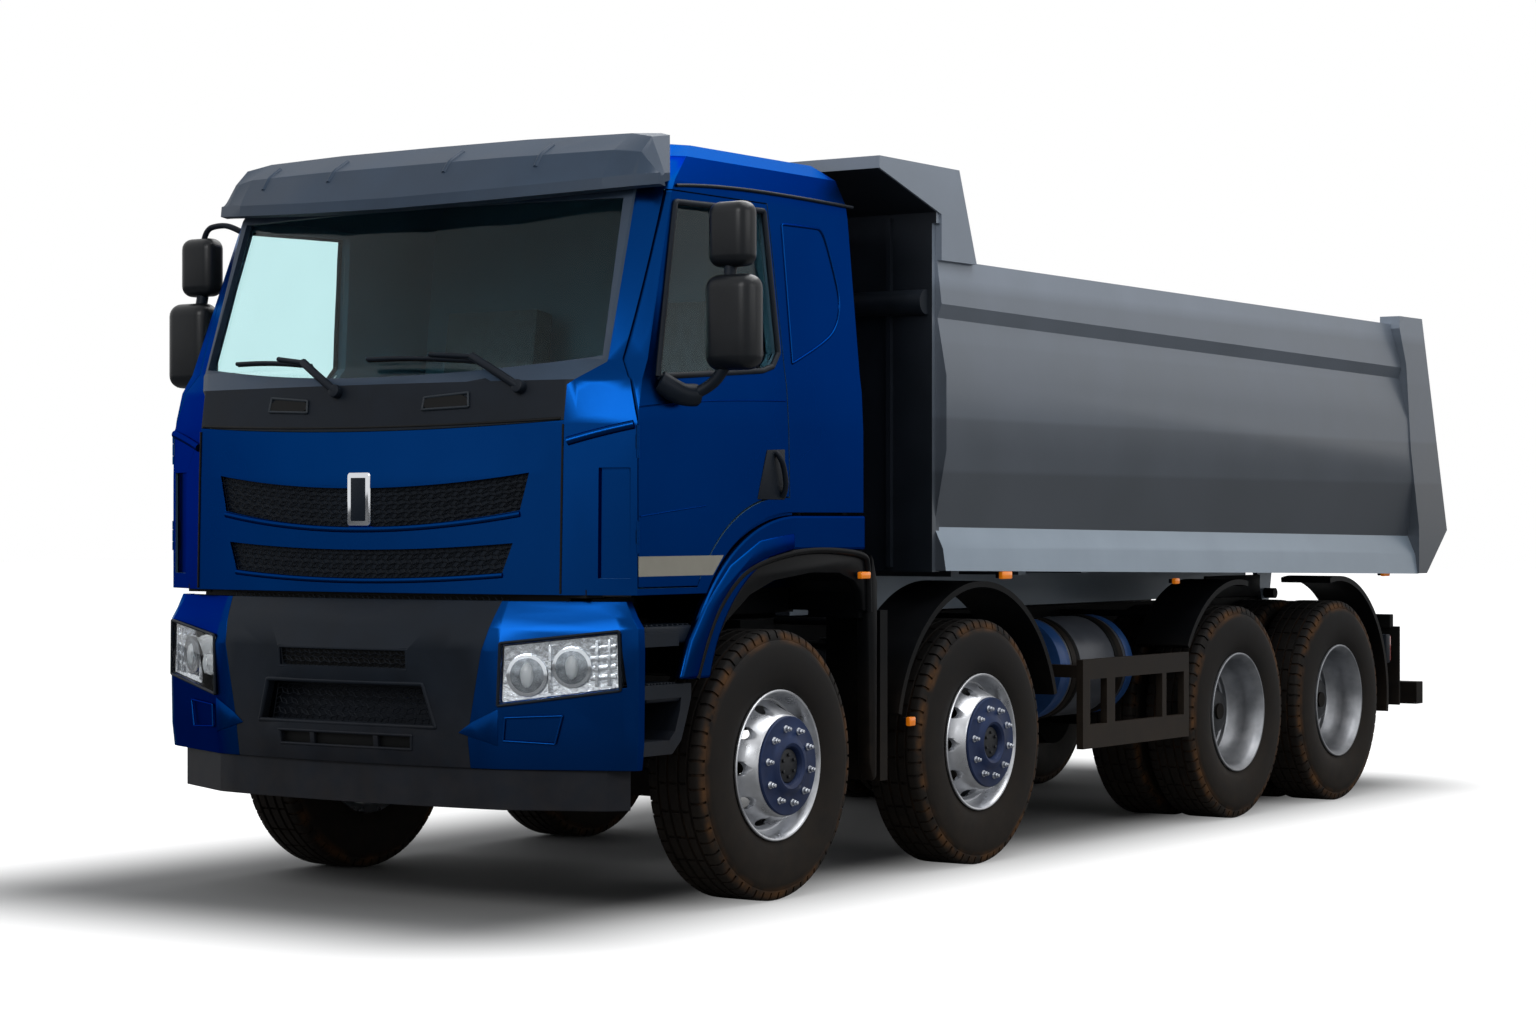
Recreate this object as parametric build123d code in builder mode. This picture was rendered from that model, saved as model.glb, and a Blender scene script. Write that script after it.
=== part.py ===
from build123d import *
import os

os.makedirs("parts", exist_ok=True)

# Four-axle dump truck. +X is forward, +Y is left, +Z is up.
# The origin is on the ground under the middle of the truck.

# ---- running gear ----
overall_length = 8440
front_overhang = 1300
axle_1_x = overall_length / 2 - front_overhang
axle_2_x = axle_1_x - 1650
axle_3_x = axle_2_x - 2675
axle_4_x = axle_3_x - 1290
tyre_r = 560
tyre_width = 300
tyre_face_y = 1265
single_y = tyre_face_y - tyre_width / 2
twin_gap = 35
twin_y = single_y - tyre_width - twin_gap
wheel_z = tyre_r
bead_r = 288
rim_flange_r = 312
rim_well_r = 268
rim_inner_r = 256
kingpin_y = 925
kingpin_r = 24
spindle_r = 42
hub_bore_r = spindle_r + 0.05
running_gap = 0.05

# ---- chassis frame ----
rail_y = 430
rail_height = 280
rail_flange = 80
rail_web = 12
rail_top_z = 1060
rail_front_x = axle_1_x + 960
rail_rear_x = axle_1_x - 6430
subframe_height = 60
subframe_front_x = axle_1_x - 900

# ---- cab ----
cab_rear_x = axle_1_x - 650
cab_floor_z = 1280
cab_half_width = 1250
cab_skin = 45
door_gap = 6
door_front_x = axle_1_x + 972
door_rear_x = axle_1_x - 75
door_hinge_x = door_front_x - door_gap / 2
door_hinge_y = cab_half_width + 0.5
hinge_heights = (1480, 1850)
hinge_barrel_r = 8
hinge_pin_radius = 4
tilt_x = axle_1_x + 1080
tilt_z = 780
tilt_pin_r = 25

# ---- dump body ----
body_front_x = axle_1_x - 1300
body_rear_x = axle_1_x - 6500
tail_x = axle_1_x - 7120
hinge_x = axle_1_x - 6300
hinge_z = 1140
hinge_pin_r = 30
floor_z = 1420
floor_half_width = 1120
gate_pivot_x = axle_1_x - 6650
gate_pivot_z = 2718
gate_pin_r = 15

# ---- hoist ----
hoist_x = axle_1_x - 1050
hoist_eye_z = 945
trunnion_z = 1350
tube_r = 110
stage_1_r = 94
stage_2_r = 74
stage_3_r = 54

# ================= chassis =================
with BuildPart() as frame:
    with BuildSketch(Plane.YZ.offset(rail_rear_x)):
        with Locations((rail_y - rail_flange / 2, rail_top_z - rail_height / 2)):
            Rectangle(rail_flange, rail_height)
        with Locations((rail_y - rail_web - rail_flange / 2, rail_top_z - rail_height / 2)):
            Rectangle(rail_flange, rail_height - 2 * rail_web, mode=Mode.SUBTRACT)
    extrude(amount=rail_front_x - rail_rear_x)
    # subframe strip that the body lies on
    with BuildSketch(Plane.YZ.offset(rail_rear_x)):
        with Locations((rail_y - rail_flange / 2, rail_top_z + subframe_height / 2)):
            Rectangle(rail_flange, subframe_height)
    extrude(amount=subframe_front_x - rail_rear_x)
    # tilt bracket on the rail's nose
    with BuildSketch(Plane.XZ.offset(-rail_y)):
        with BuildLine():
            Polyline((tilt_x + 45, tilt_z - 45), (tilt_x + 45, tilt_z + 45), (rail_front_x, rail_top_z - 40),
                     (rail_front_x - 120, rail_top_z - 40), (rail_front_x - 120, tilt_z - 45), close=True)
        make_face()
    extrude(amount=30)
    with BuildSketch(Plane.XZ.offset(-rail_y)):
        with Locations((tilt_x, tilt_z)):
            Circle(tilt_pin_r)
    extrude(amount=-75)
    # rear cab post
    with BuildSketch(Plane.XY.offset(rail_top_z)):
        with Locations((cab_rear_x + 150, rail_y - 40)):
            Rectangle(90, 70)
    extrude(amount=cab_floor_z - 12 - rail_top_z)
    # body hinge cheek and the ear of the hoist base
    with BuildSketch(Plane.XZ.offset(-rail_y)):
        with BuildLine():
            Polyline((hinge_x - 110, rail_top_z), (hinge_x - 55, hinge_z + 50), (hinge_x + 55, hinge_z + 50),
                     (hinge_x + 160, rail_top_z), close=True)
        make_face()
    extrude(amount=40)
    with BuildSketch(Plane.XZ.offset(-90)):
        with Locations((hoist_x, hoist_eye_z - 40)):
            Rectangle(150, 200)
        with Locations((hoist_x, hoist_eye_z)):
            Circle(26, mode=Mode.SUBTRACT)
    extrude(amount=25)
    with BuildSketch(Plane.YZ.offset(hoist_x - 75)):
        with Locations(((rail_y - 10) / 2, hoist_eye_z - 135)):
            Rectangle(rail_y - 10, 40)
    extrude(amount=150)
    mirror(about=Plane.XZ)
    # end plate across the rails' noses
    with BuildSketch(Plane.YZ.offset(rail_front_x - 30)):
        with Locations((0, rail_top_z - rail_height / 2)):
            Rectangle(2 * (rail_y - rail_web), rail_height)
    extrude(amount=30)
    # cross members
    for member_x in (axle_1_x - 860, axle_2_x - 820, axle_2_x - 1750,
                     axle_3_x + 60, axle_3_x - 670, axle_4_x - 620):
        with BuildSketch(Plane.XZ.offset(-(rail_y - rail_web))):
            with Locations((member_x, rail_top_z - rail_height / 2)):
                Circle(50)
        extrude(amount=2 * (rail_y - rail_web))
    # through pin of the body hinge
    with BuildSketch(Plane.XZ.offset(-(rail_y + 110))):
        with Locations((hinge_x, hinge_z)):
            Circle(hinge_pin_r)
    extrude(amount=2 * (rail_y + 110))
frame.part.label = "frame"
export_step(frame.part, "parts/frame.step")

# Block that stands for the engine and gearbox
with BuildPart() as engine:
    with BuildSketch(Plane.XY.offset(700)):
        with Locations((axle_1_x + 150, 0)):
            Rectangle(1150, 620)
    extrude(amount=530)
    with BuildSketch(Plane.XY.offset(780)):
        with Locations((axle_1_x - 590, 0)):
            Rectangle(330, 380)
    extrude(amount=250)
    # mounts under the rails
    with BuildSketch(Plane.XY.offset(745)):
        with Locations((axle_1_x, 0)):
            Rectangle(160, 800)
    extrude(amount=35)
    with BuildSketch(Plane.XY.offset(720)):
        with Locations((axle_1_x + 785, 0)):
            Rectangle(120, 640)
    extrude(amount=530)
    with BuildSketch(Plane.XY.offset(rail_top_z + 10)):
        with Locations((axle_1_x + 785, 0)):
            Rectangle(120, 860)
    extrude(amount=cab_floor_z - 8 - rail_top_z - 10)
engine.part.label = "engine"
export_step(engine.part, "parts/engine.step")

# ---- steering axles: beam, kingpins, leaf springs ----
beam_z = 520
with BuildPart() as steer_axles:
    for axle_x in (axle_1_x, axle_2_x):
        with BuildSketch(Plane.XZ.offset(-(kingpin_y - 60))):
            with Locations((axle_x, beam_z - 60)):
                Rectangle(100, 110)
        extrude(amount=2 * (kingpin_y - 60))
        for side in (1, -1):
            with BuildSketch(Plane.XY.offset(beam_z - 105)):
                with Locations((axle_x, side * kingpin_y)):
                    Circle(42)
                with Locations((axle_x, side * (kingpin_y - 50))):
                    Rectangle(84, 100)
            extrude(amount=150)
            with BuildSketch(Plane.XY.offset(beam_z - 172)):
                with Locations((axle_x, side * kingpin_y)):
                    Circle(kingpin_r)
            extrude(amount=277)
            with BuildSketch(Plane.XZ.offset(-(side * 390 + 40))):
                with BuildLine():
                    Polyline((axle_x - 640, 700), (axle_x - 100, beam_z - 5), (axle_x + 100, beam_z - 5),
                             (axle_x + 640, 700), (axle_x + 640, 740), (axle_x + 100, 610),
                             (axle_x - 100, 610), (axle_x - 640, 740), close=True)
                make_face()
            extrude(amount=80)
            # spring hangers below the rail
            for end in (-1, 1):
                with BuildSketch(Plane.XY.offset(700)):
                    with Locations((axle_x + end * 625, side * 390)):
                        Rectangle(70, 80)
                extrude(amount=rail_top_z - rail_height - 700)
steer_axles.part.label = "steer_axles"
export_step(steer_axles.part, "parts/steer_axles.step")

# ---- drive axles: housings, springs, propeller shaft ----
with BuildPart() as drive_axles:
    for axle_x in (axle_3_x, axle_4_x):
        with BuildSketch(Plane.XZ.offset(-590)):
            with Locations((axle_x, wheel_z)):
                Circle(100)
        extrude(amount=1180)
        with BuildSketch(Plane.XZ.offset(-140)):
            with Locations((axle_x, wheel_z)):
                Circle(210)
        extrude(amount=280)
        with BuildSketch(Plane.XZ.offset(-(tyre_face_y - 120))):
            with Locations((axle_x, wheel_z)):
                Circle(spindle_r)
        extrude(amount=2 * (tyre_face_y - 120))
    middle_x = (axle_3_x + axle_4_x) / 2
    for side in (1, -1):
        with BuildSketch(Plane.XZ.offset(-(side * 480 + 45))):
            with BuildLine():
                Polyline((axle_3_x + 60, 655), (axle_3_x + 60, 720), (middle_x + 120, 850), (middle_x - 120, 850),
                         (axle_4_x - 60, 720), (axle_4_x - 60, 655), (axle_4_x + 60, 655), (middle_x - 100, 740),
                         (middle_x + 100, 740), (axle_3_x - 60, 655), close=True)
            make_face()
        extrude(amount=90)
        with BuildSketch(Plane.XZ.offset(-(side * 455 + 25))):
            with Locations((middle_x, 790)):
                Circle(110)
        extrude(amount=50)
    with BuildSketch(Plane.YZ.offset(axle_4_x + 150)):
        with Locations((0, 600)):
            Circle(50)
    extrude(amount=axle_3_x - axle_4_x - 300)
    with BuildSketch(Plane.YZ.offset(axle_3_x + 150)):
        with Locations((0, 620)):
            Circle(50)
    extrude(amount=axle_2_x - axle_3_x + 300)
drive_axles.part.label = "drive_axles"
export_step(drive_axles.part, "parts/drive_axles.step")

# ---- steering knuckles ----
for axle_name, axle_x in (("front", axle_1_x), ("second", axle_2_x)):
    for side_name, side in (("left", 1), ("right", -1)):
        with BuildPart() as knuckle:
            # two ears round the kingpin, joined outboard of the beam's end
            for ear_z in (beam_z - 165, beam_z + 55):
                with BuildSketch(Plane.XY.offset(ear_z)):
                    with Locations((axle_x, side * (kingpin_y + 10))):
                        Rectangle(100, 120)
                    with Locations((axle_x, side * kingpin_y)):
                        Circle(kingpin_r + running_gap, mode=Mode.SUBTRACT)
                extrude(amount=43)
            with BuildSketch(Plane.XZ.offset(-side * (kingpin_y + 49))):
                with Locations((axle_x, beam_z - 30)):
                    Rectangle(100, 250)
            extrude(amount=-side * 45)
            with BuildSketch(Plane.XZ.offset(-side * (kingpin_y + 90))):
                with Locations((axle_x, wheel_z)):
                    Circle(spindle_r)
            extrude(amount=-side * (tyre_face_y - 60 - kingpin_y - 90))
        knuckle.part.label = f"knuckle_{axle_name}_{side_name}"
        export_step(knuckle.part, f"parts/knuckle_{axle_name}_{side_name}.step")

# ---- wheels: each tyre and rim pair turns on its spindle ----
# outer outline of a tyre: distance from its middle, radius to the flats
tyre_sides = 30
tyre_outline = ((-107, rim_flange_r + 6), (-150, 430), (-122, tyre_r), (122, tyre_r), (150, 430),
                (107, rim_flange_r + 6))
wheels = (("front_left", axle_1_x, 1, False), ("front_right", axle_1_x, -1, False),
          ("second_left", axle_2_x, 1, False), ("second_right", axle_2_x, -1, False),
          ("third_left", axle_3_x, 1, True), ("third_right", axle_3_x, -1, True),
          ("fourth_left", axle_4_x, 1, True), ("fourth_right", axle_4_x, -1, True))
for name, axle_x, side, twin in wheels:
    with BuildPart() as tyre:
        for tyre_y in ((single_y, twin_y) if twin else (single_y,)):
            for section_y, section_r in tyre_outline:
                with BuildSketch(Plane.XZ.offset(-side * tyre_y - section_y)):
                    with Locations((axle_x, wheel_z)):
                        RegularPolygon(section_r, tyre_sides, major_radius=False)
            loft(ruled=True)
            with BuildSketch(Plane.XZ.offset(-side * tyre_y - 160)):
                with Locations((axle_x, wheel_z)):
                    RegularPolygon(bead_r, tyre_sides, major_radius=False)
            extrude(amount=320, mode=Mode.SUBTRACT)
    tyre.part.label = f"tyre_{name}"
    export_step(tyre.part, f"parts/tyre_{name}.step")

    # rim: profile of radius against distance outwards from the tyre's middle
    with BuildPart() as rim:
        for tyre_y in ((single_y, twin_y) if twin else (single_y,)):
            with BuildSketch(Plane.XY.offset(wheel_z)):
                with BuildLine():
                    Polyline(*[(axle_x + r, side * tyre_y + y) for r, y in (
                        (rim_inner_r, -118), (rim_flange_r, -136), (rim_flange_r, -116), (bead_r - 0.4, -108),
                        (rim_well_r, -60), (rim_well_r, 60), (bead_r - 0.4, 108), (rim_flange_r, 116),
                        (rim_flange_r, 136), (rim_inner_r, 118))], close=True)
                make_face()
            revolve(axis=Axis((axle_x, 0, wheel_z), (0, 1, 0)))
        if twin:
            # deep dish: the bolted disc stands near the inner face of the outer tyre
            with BuildSketch(Plane.XY.offset(wheel_z)):
                with BuildLine():
                    Polyline(*[(axle_x + r, side * (single_y + y)) for r, y in (
                        (hub_bore_r, -132), (rim_inner_r + 4, -132), (rim_inner_r + 4, -106),
                        (160, -106), (150, 20), (70, 45), (hub_bore_r, 45))], close=True)
                make_face()
            revolve(axis=Axis((axle_x, 0, wheel_z), (0, 1, 0)))
            with BuildSketch(Plane.XY.offset(wheel_z)):
                with BuildLine():
                    Polyline(*[(axle_x + r, side * (twin_y + y)) for r, y in (
                        (hub_bore_r, 60), (rim_inner_r + 4, 60), (rim_inner_r + 4, 86),
                        (180, single_y - twin_y - 130), (hub_bore_r, single_y - twin_y - 130))], close=True)
                make_face()
            revolve(axis=Axis((axle_x, 0, wheel_z), (0, 1, 0)))
        else:
            # disc near the outer face, hub flange and hub barrel
            with BuildSketch(Plane.XY.offset(wheel_z)):
                with BuildLine():
                    Polyline(*[(axle_x + r, side * (single_y + y)) for r, y in (
                        (hub_bore_r, -40), (120, -40), (120, 70), (150, 92), (rim_inner_r + 4, 60),
                        (rim_inner_r + 4, 84), (165, 118), (120, 128), (60, 138), (hub_bore_r, 138))], close=True)
                make_face()
            revolve(axis=Axis((axle_x, 0, wheel_z), (0, 1, 0)))
            # ring of hand holes
            with BuildSketch(Plane.XZ.offset(-side * single_y)):
                with Locations((axle_x, wheel_z)):
                    with PolarLocations(218, 10):
                        SlotOverall(54, 34, rotation=90)
            extrude(amount=-side * 160, mode=Mode.SUBTRACT)
    rim.part.label = f"rim_{name}"
    export_step(rim.part, f"parts/rim_{name}.step")

# ================= cab =================
# outline at each height: z, nose x, corner x, corner y, cheek x, half width
cab_sections = ((1280, 1190, 1100, 985, 975, 1250), (1750, 1180, 1090, 985, 975, 1250),
                (1950, 1165, 1085, 975, 972, 1249), (2120, 1135, 1065, 965, 930, 1241),
                (2200, 1085, 960, 1060, 880, 1230), (2870, 880, 745, 1060, 640, 1168),
                (2930, 850, 715, 1040, 600, 1158), (3040, 720, 590, 980, 450, 1105),
                (3112, 520, 400, 900, 250, 980))
arch_top_z = 1592
arch_points = ((-720, arch_top_z), (-120, arch_top_z), (400, 1385), (545, 1180))
solids = {}
for inset in (0, 20, cab_skin, 26, 34, 60):
    with BuildPart() as cab_solid:
        for z, nose, corner, corner_y, cheek, half in cab_sections:
            top = z == 3112
            low = z == 1280
            level = z - inset if top else z + inset if low else z
            with BuildSketch(Plane.XY.offset(level)):
                with BuildLine():
                    Polyline((axle_1_x + corner - inset, -corner_y + inset / 2),
                             (axle_1_x + cheek - inset / 2, -half + inset), (cab_rear_x + inset, -half + inset),
                             (cab_rear_x + inset, half - inset), (axle_1_x + cheek - inset / 2, half - inset),
                             (axle_1_x + corner - inset, corner_y - inset / 2))
                    ThreePointArc((axle_1_x + corner - inset, corner_y - inset / 2),
                                  (axle_1_x + nose - inset, 0),
                                  (axle_1_x + corner - inset, -corner_y + inset / 2))
                make_face()
        loft(ruled=True)
        # room for the front wheel arch
        for side in (1, -1):
            with BuildSketch(Plane.XZ.offset(-side * 1300)):
                with BuildLine():
                    Polyline((cab_rear_x - 60, 1200), (cab_rear_x - 60, arch_top_z + 12 + inset),
                             (axle_1_x - 110, arch_top_z + 12 + inset))
                    ThreePointArc((axle_1_x - 110, arch_top_z + 12 + inset),
                                  (axle_1_x + 320 + inset, 1475 + inset), (axle_1_x + 560 + inset, 1200))
                    Line((axle_1_x + 560 + inset, 1200), (cab_rear_x - 60, 1200))
                make_face()
            extrude(amount=side * (420 + inset), mode=Mode.SUBTRACT)
    solids[inset] = cab_solid.part

# door outline and window outline, seen from the side
door_lower_z = 1305
door_belt_z = 2130
door_top_z = 2888
doors = (("left", 1), ("right", -1))
window_points = ((axle_1_x + 830, 2132), (axle_1_x + 620, 2838), (axle_1_x - 5, 2852), (axle_1_x - 30, 2262),
                 (axle_1_x + 20, 2205), (axle_1_x + 95, 2185))
door_prisms = {}
for gap in (0, door_gap):
    for side_name, side in doors:
        with BuildPart() as prism:
            with BuildSketch(Plane.XZ.offset(-side * 1330)):
                with BuildLine():
                    Polyline((axle_1_x + 575, door_lower_z + gap), (door_front_x - gap, door_lower_z + gap),
                             (door_front_x - gap, 1950), (door_front_x - 22 - gap, door_belt_z),
                             (axle_1_x + 655 - gap, door_top_z - gap), (axle_1_x - 40 + gap, door_top_z - gap),
                             (door_rear_x + gap, 2200),
                             (door_rear_x - 10 + gap, arch_top_z + 70 + gap))
                    ThreePointArc((door_rear_x - 10 + gap, arch_top_z + 70 + gap),
                                  (axle_1_x + 370 + gap, 1535 + gap), (axle_1_x + 575, door_lower_z + gap))
                make_face()
            extrude(amount=side * 235)
        door_prisms[side_name, gap] = prism.part

# shallow channels down the corner panels
with BuildPart() as corner_channels:
    add(solids[0])
    add(solids[20], mode=Mode.SUBTRACT)
    with BuildSketch(Plane.YZ.offset(axle_1_x + 940)):
        for side in (1, -1):
            with Locations((side * 1167, 1560)):
                Rectangle(116, 430)
    extrude(amount=300, mode=Mode.INTERSECT)

# dark surround of the windscreen, seen from the front
surround_points = ((975, 2100), (1088, 2190), (1066, 2890), (-1066, 2890), (-1088, 2190), (-975, 2100))

with BuildPart() as cab_shell:
    add(solids[0])
    add(solids[cab_skin], mode=Mode.SUBTRACT)
    for side_name, side in doors:
        add(door_prisms[side_name, 0], mode=Mode.SUBTRACT)
    # front panel, grille, cowl and screen surround stand in this opening
    with BuildSketch(Plane.YZ.offset(axle_1_x + 900)):
        with Locations((0, 1698)):
            Rectangle(1950, 840)
    extrude(amount=400, mode=Mode.SUBTRACT)
    with BuildSketch(Plane.YZ.offset(axle_1_x + 560)):
        with BuildLine():
            Polyline(*surround_points, close=True)
        make_face()
    extrude(amount=700, mode=Mode.SUBTRACT)
    add(corner_channels.part, mode=Mode.SUBTRACT)
    # tilt bracket lugs under the floor
    for side in (1, -1):
        with BuildSketch(Plane.XZ.offset(-(side * (rail_y + 30) + 15))):
            with BuildLine():
                Polyline((tilt_x, tilt_z - 45), (tilt_x, tilt_z + 45), (tilt_x - 530, cab_floor_z),
                         (tilt_x - 690, cab_floor_z), (tilt_x - 60, tilt_z - 45), close=True)
            make_face()
            with Locations((tilt_x, tilt_z)):
                Circle(45)
                Circle(tilt_pin_r + running_gap, mode=Mode.SUBTRACT)
        extrude(amount=30)
        # hinge barrels and pins, with room for the door's own barrels
        for barrel_z in hinge_heights:
            with BuildSketch(Plane.XY.offset(barrel_z - 1)):
                with Locations((door_hinge_x, side * door_hinge_y)):
                    Circle(hinge_barrel_r + 2)
            extrude(amount=52, mode=Mode.SUBTRACT)
            for low_z, height in ((barrel_z - 38, 36), (barrel_z + 52, 36)):
                with BuildSketch(Plane.XY.offset(low_z)):
                    with Locations((door_hinge_x, side * door_hinge_y)):
                        Circle(hinge_barrel_r)
                extrude(amount=height)
            with BuildSketch(Plane.XY.offset(barrel_z - 38)):
                with Locations((door_hinge_x, side * door_hinge_y)):
                    Circle(hinge_pin_radius)
            extrude(amount=126)
cab_shell.part.label = "cab_shell"
export_step(cab_shell.part, "parts/cab_shell.step")

# Painted front panel with two curved openings: z of the corners, z at the middle, half width
grille_openings = ((1757, 1610, 1700, 1545, 829, 790), (1481, 1366, 1452, 1338, 760, 715))
with BuildPart() as front_panel:
    with BuildSketch(Plane.YZ.offset(axle_1_x + 900)):
        with BuildLine():
            Polyline((975, 1280), (975, 1960))
            ThreePointArc((975, 1960), (0, 1928), (-975, 1960))
            Line((-975, 1960), (-975, 1280))
            Line((-975, 1280), (975, 1280))
        make_face()
    extrude(amount=400)
    add(solids[0], mode=Mode.INTERSECT)
    add(solids[20], mode=Mode.SUBTRACT)
    for top_z, low_z, top_mid, low_mid, top_y, low_y in grille_openings:
        with BuildSketch(Plane.YZ.offset(axle_1_x + 900)):
            with BuildLine():
                ThreePointArc((top_y, top_z), (0, top_mid), (-top_y, top_z))
                Line((-top_y, top_z), (-low_y, low_z))
                ThreePointArc((-low_y, low_z), (0, low_mid), (low_y, low_z))
                Line((low_y, low_z), (top_y, top_z))
            make_face()
        extrude(amount=400, mode=Mode.SUBTRACT)
front_panel.part.label = "front_panel"
export_step(front_panel.part, "parts/front_panel.step")

with BuildPart() as grille:
    with BuildSketch(Plane.YZ.offset(axle_1_x + 900)):
        with Locations((0, 1560)):
            Rectangle(1760, 470)
    extrude(amount=400)
    add(solids[20], mode=Mode.INTERSECT)
    add(solids[cab_skin], mode=Mode.SUBTRACT)
grille.part.label = "grille"
export_step(grille.part, "parts/grille.step")

with BuildPart() as cowl:
    with BuildSketch(Plane.YZ.offset(axle_1_x + 900)):
        with BuildLine():
            Polyline((975, 1962), (975, 2118), (-975, 2118), (-975, 1962))
            ThreePointArc((-975, 1962), (0, 1930), (975, 1962))
        make_face()
    extrude(amount=400)
    with BuildSketch(Plane.YZ.offset(axle_1_x + 560)):
        with BuildLine():
            Polyline(*surround_points, close=True)
        make_face()
    extrude(amount=740)
    add(solids[0], mode=Mode.INTERSECT)
    add(solids[cab_skin], mode=Mode.SUBTRACT)
    with BuildSketch(Plane.YZ.offset(axle_1_x + 560)):
        with BuildLine():
            Polyline((1065, 2215), (1022, 2850), (-1022, 2850), (-1065, 2215))
            ThreePointArc((-1065, 2215), (0, 2150), (1065, 2215))
        make_face()
    extrude(amount=740, mode=Mode.SUBTRACT)
cowl.part.label = "cowl"
export_step(cowl.part, "parts/cowl.step")

with BuildPart() as windshield:
    with BuildSketch(Plane.YZ.offset(axle_1_x + 560)):
        with BuildLine():
            Polyline((1065, 2215), (1022, 2850), (-1022, 2850), (-1065, 2215))
            ThreePointArc((-1065, 2215), (0, 2150), (1065, 2215))
        make_face()
    extrude(amount=700)
    add(solids[26], mode=Mode.INTERSECT)
    add(solids[34], mode=Mode.SUBTRACT)
windshield.part.label = "windshield"
export_step(windshield.part, "parts/windshield.step")

# Sun visor and roof cap: lip x, lip z, height and depth at each distance from the middle
visor_sections = ((-1190, 748, 2897, 50, 70), (-1100, 795, 2890, 225, 240), (-980, 850, 2880, 262, 400),
                  (-500, 965, 2855, 290, 500), (0, 1000, 2845, 300, 540), (500, 965, 2855, 290, 500),
                  (980, 850, 2880, 262, 400), (1100, 795, 2890, 225, 240), (1190, 748, 2897, 50, 70))
with BuildPart() as roof_visor:
    for y, lip_x, lip_z, height, depth in visor_sections:
        with BuildSketch(Plane.XZ.offset(-y)):
            with BuildLine():
                Polyline((axle_1_x + lip_x, lip_z), (axle_1_x + lip_x - 5, lip_z + 45),
                         (axle_1_x + lip_x - 0.2 * depth, lip_z + 0.62 * height),
                         (axle_1_x + lip_x - 0.5 * depth, lip_z + 0.92 * height),
                         (axle_1_x + lip_x - depth, lip_z + height),
                         (axle_1_x + lip_x - depth, lip_z + 0.4 * height),
                         (axle_1_x + lip_x - 0.5 * depth, lip_z + 10),
                         (axle_1_x + lip_x - 40, lip_z - 6), close=True)
            make_face()
    loft(ruled=True)
    add(solids[0], mode=Mode.SUBTRACT)
roof_visor.part.label = "roof_visor"
export_step(roof_visor.part, "parts/roof_visor.step")

with BuildPart() as dashboard:
    with BuildSketch(Plane.XZ.offset(-1000)):
        with BuildLine():
            Polyline((axle_1_x + 560, 1800), (axle_1_x + 560, 2060), (axle_1_x + 800, 2120), (axle_1_x + 800, 1325),
                     (axle_1_x + 740, 1325), (axle_1_x + 700, 1800), close=True)
        make_face()
    extrude(amount=2000)
    # column and steering wheel
    with BuildSketch(Plane(origin=(axle_1_x + 478, 550, 2044), z_dir=(-0.5, 0, 0.866))):
        Circle(22)
    extrude(amount=-260)
    with BuildSketch(Plane(origin=(axle_1_x + 480, 550, 2040), z_dir=(-0.5, 0, 0.866))):
        Circle(230)
        Circle(200, mode=Mode.SUBTRACT)
        Rectangle(410, 40)
        Circle(60)
    extrude(amount=30)
dashboard.part.label = "dashboard"
export_step(dashboard.part, "parts/dashboard.step")

with BuildPart() as seats:
    for seat_y in (550, -550):
        with BuildSketch(Plane.XZ.offset(-(seat_y + 260))):
            with BuildLine():
                Polyline((axle_1_x - 260, 1325), (axle_1_x + 120, 1325), (axle_1_x + 200, 1700),
                         (axle_1_x + 180, 1790), (axle_1_x - 240, 1780), (axle_1_x - 340, 2520),
                         (axle_1_x - 450, 2500), (axle_1_x - 380, 1700), (axle_1_x - 260, 1660), close=True)
            make_face()
        extrude(amount=520)
seats.part.label = "seats"
export_step(seats.part, "parts/seats.step")

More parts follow.
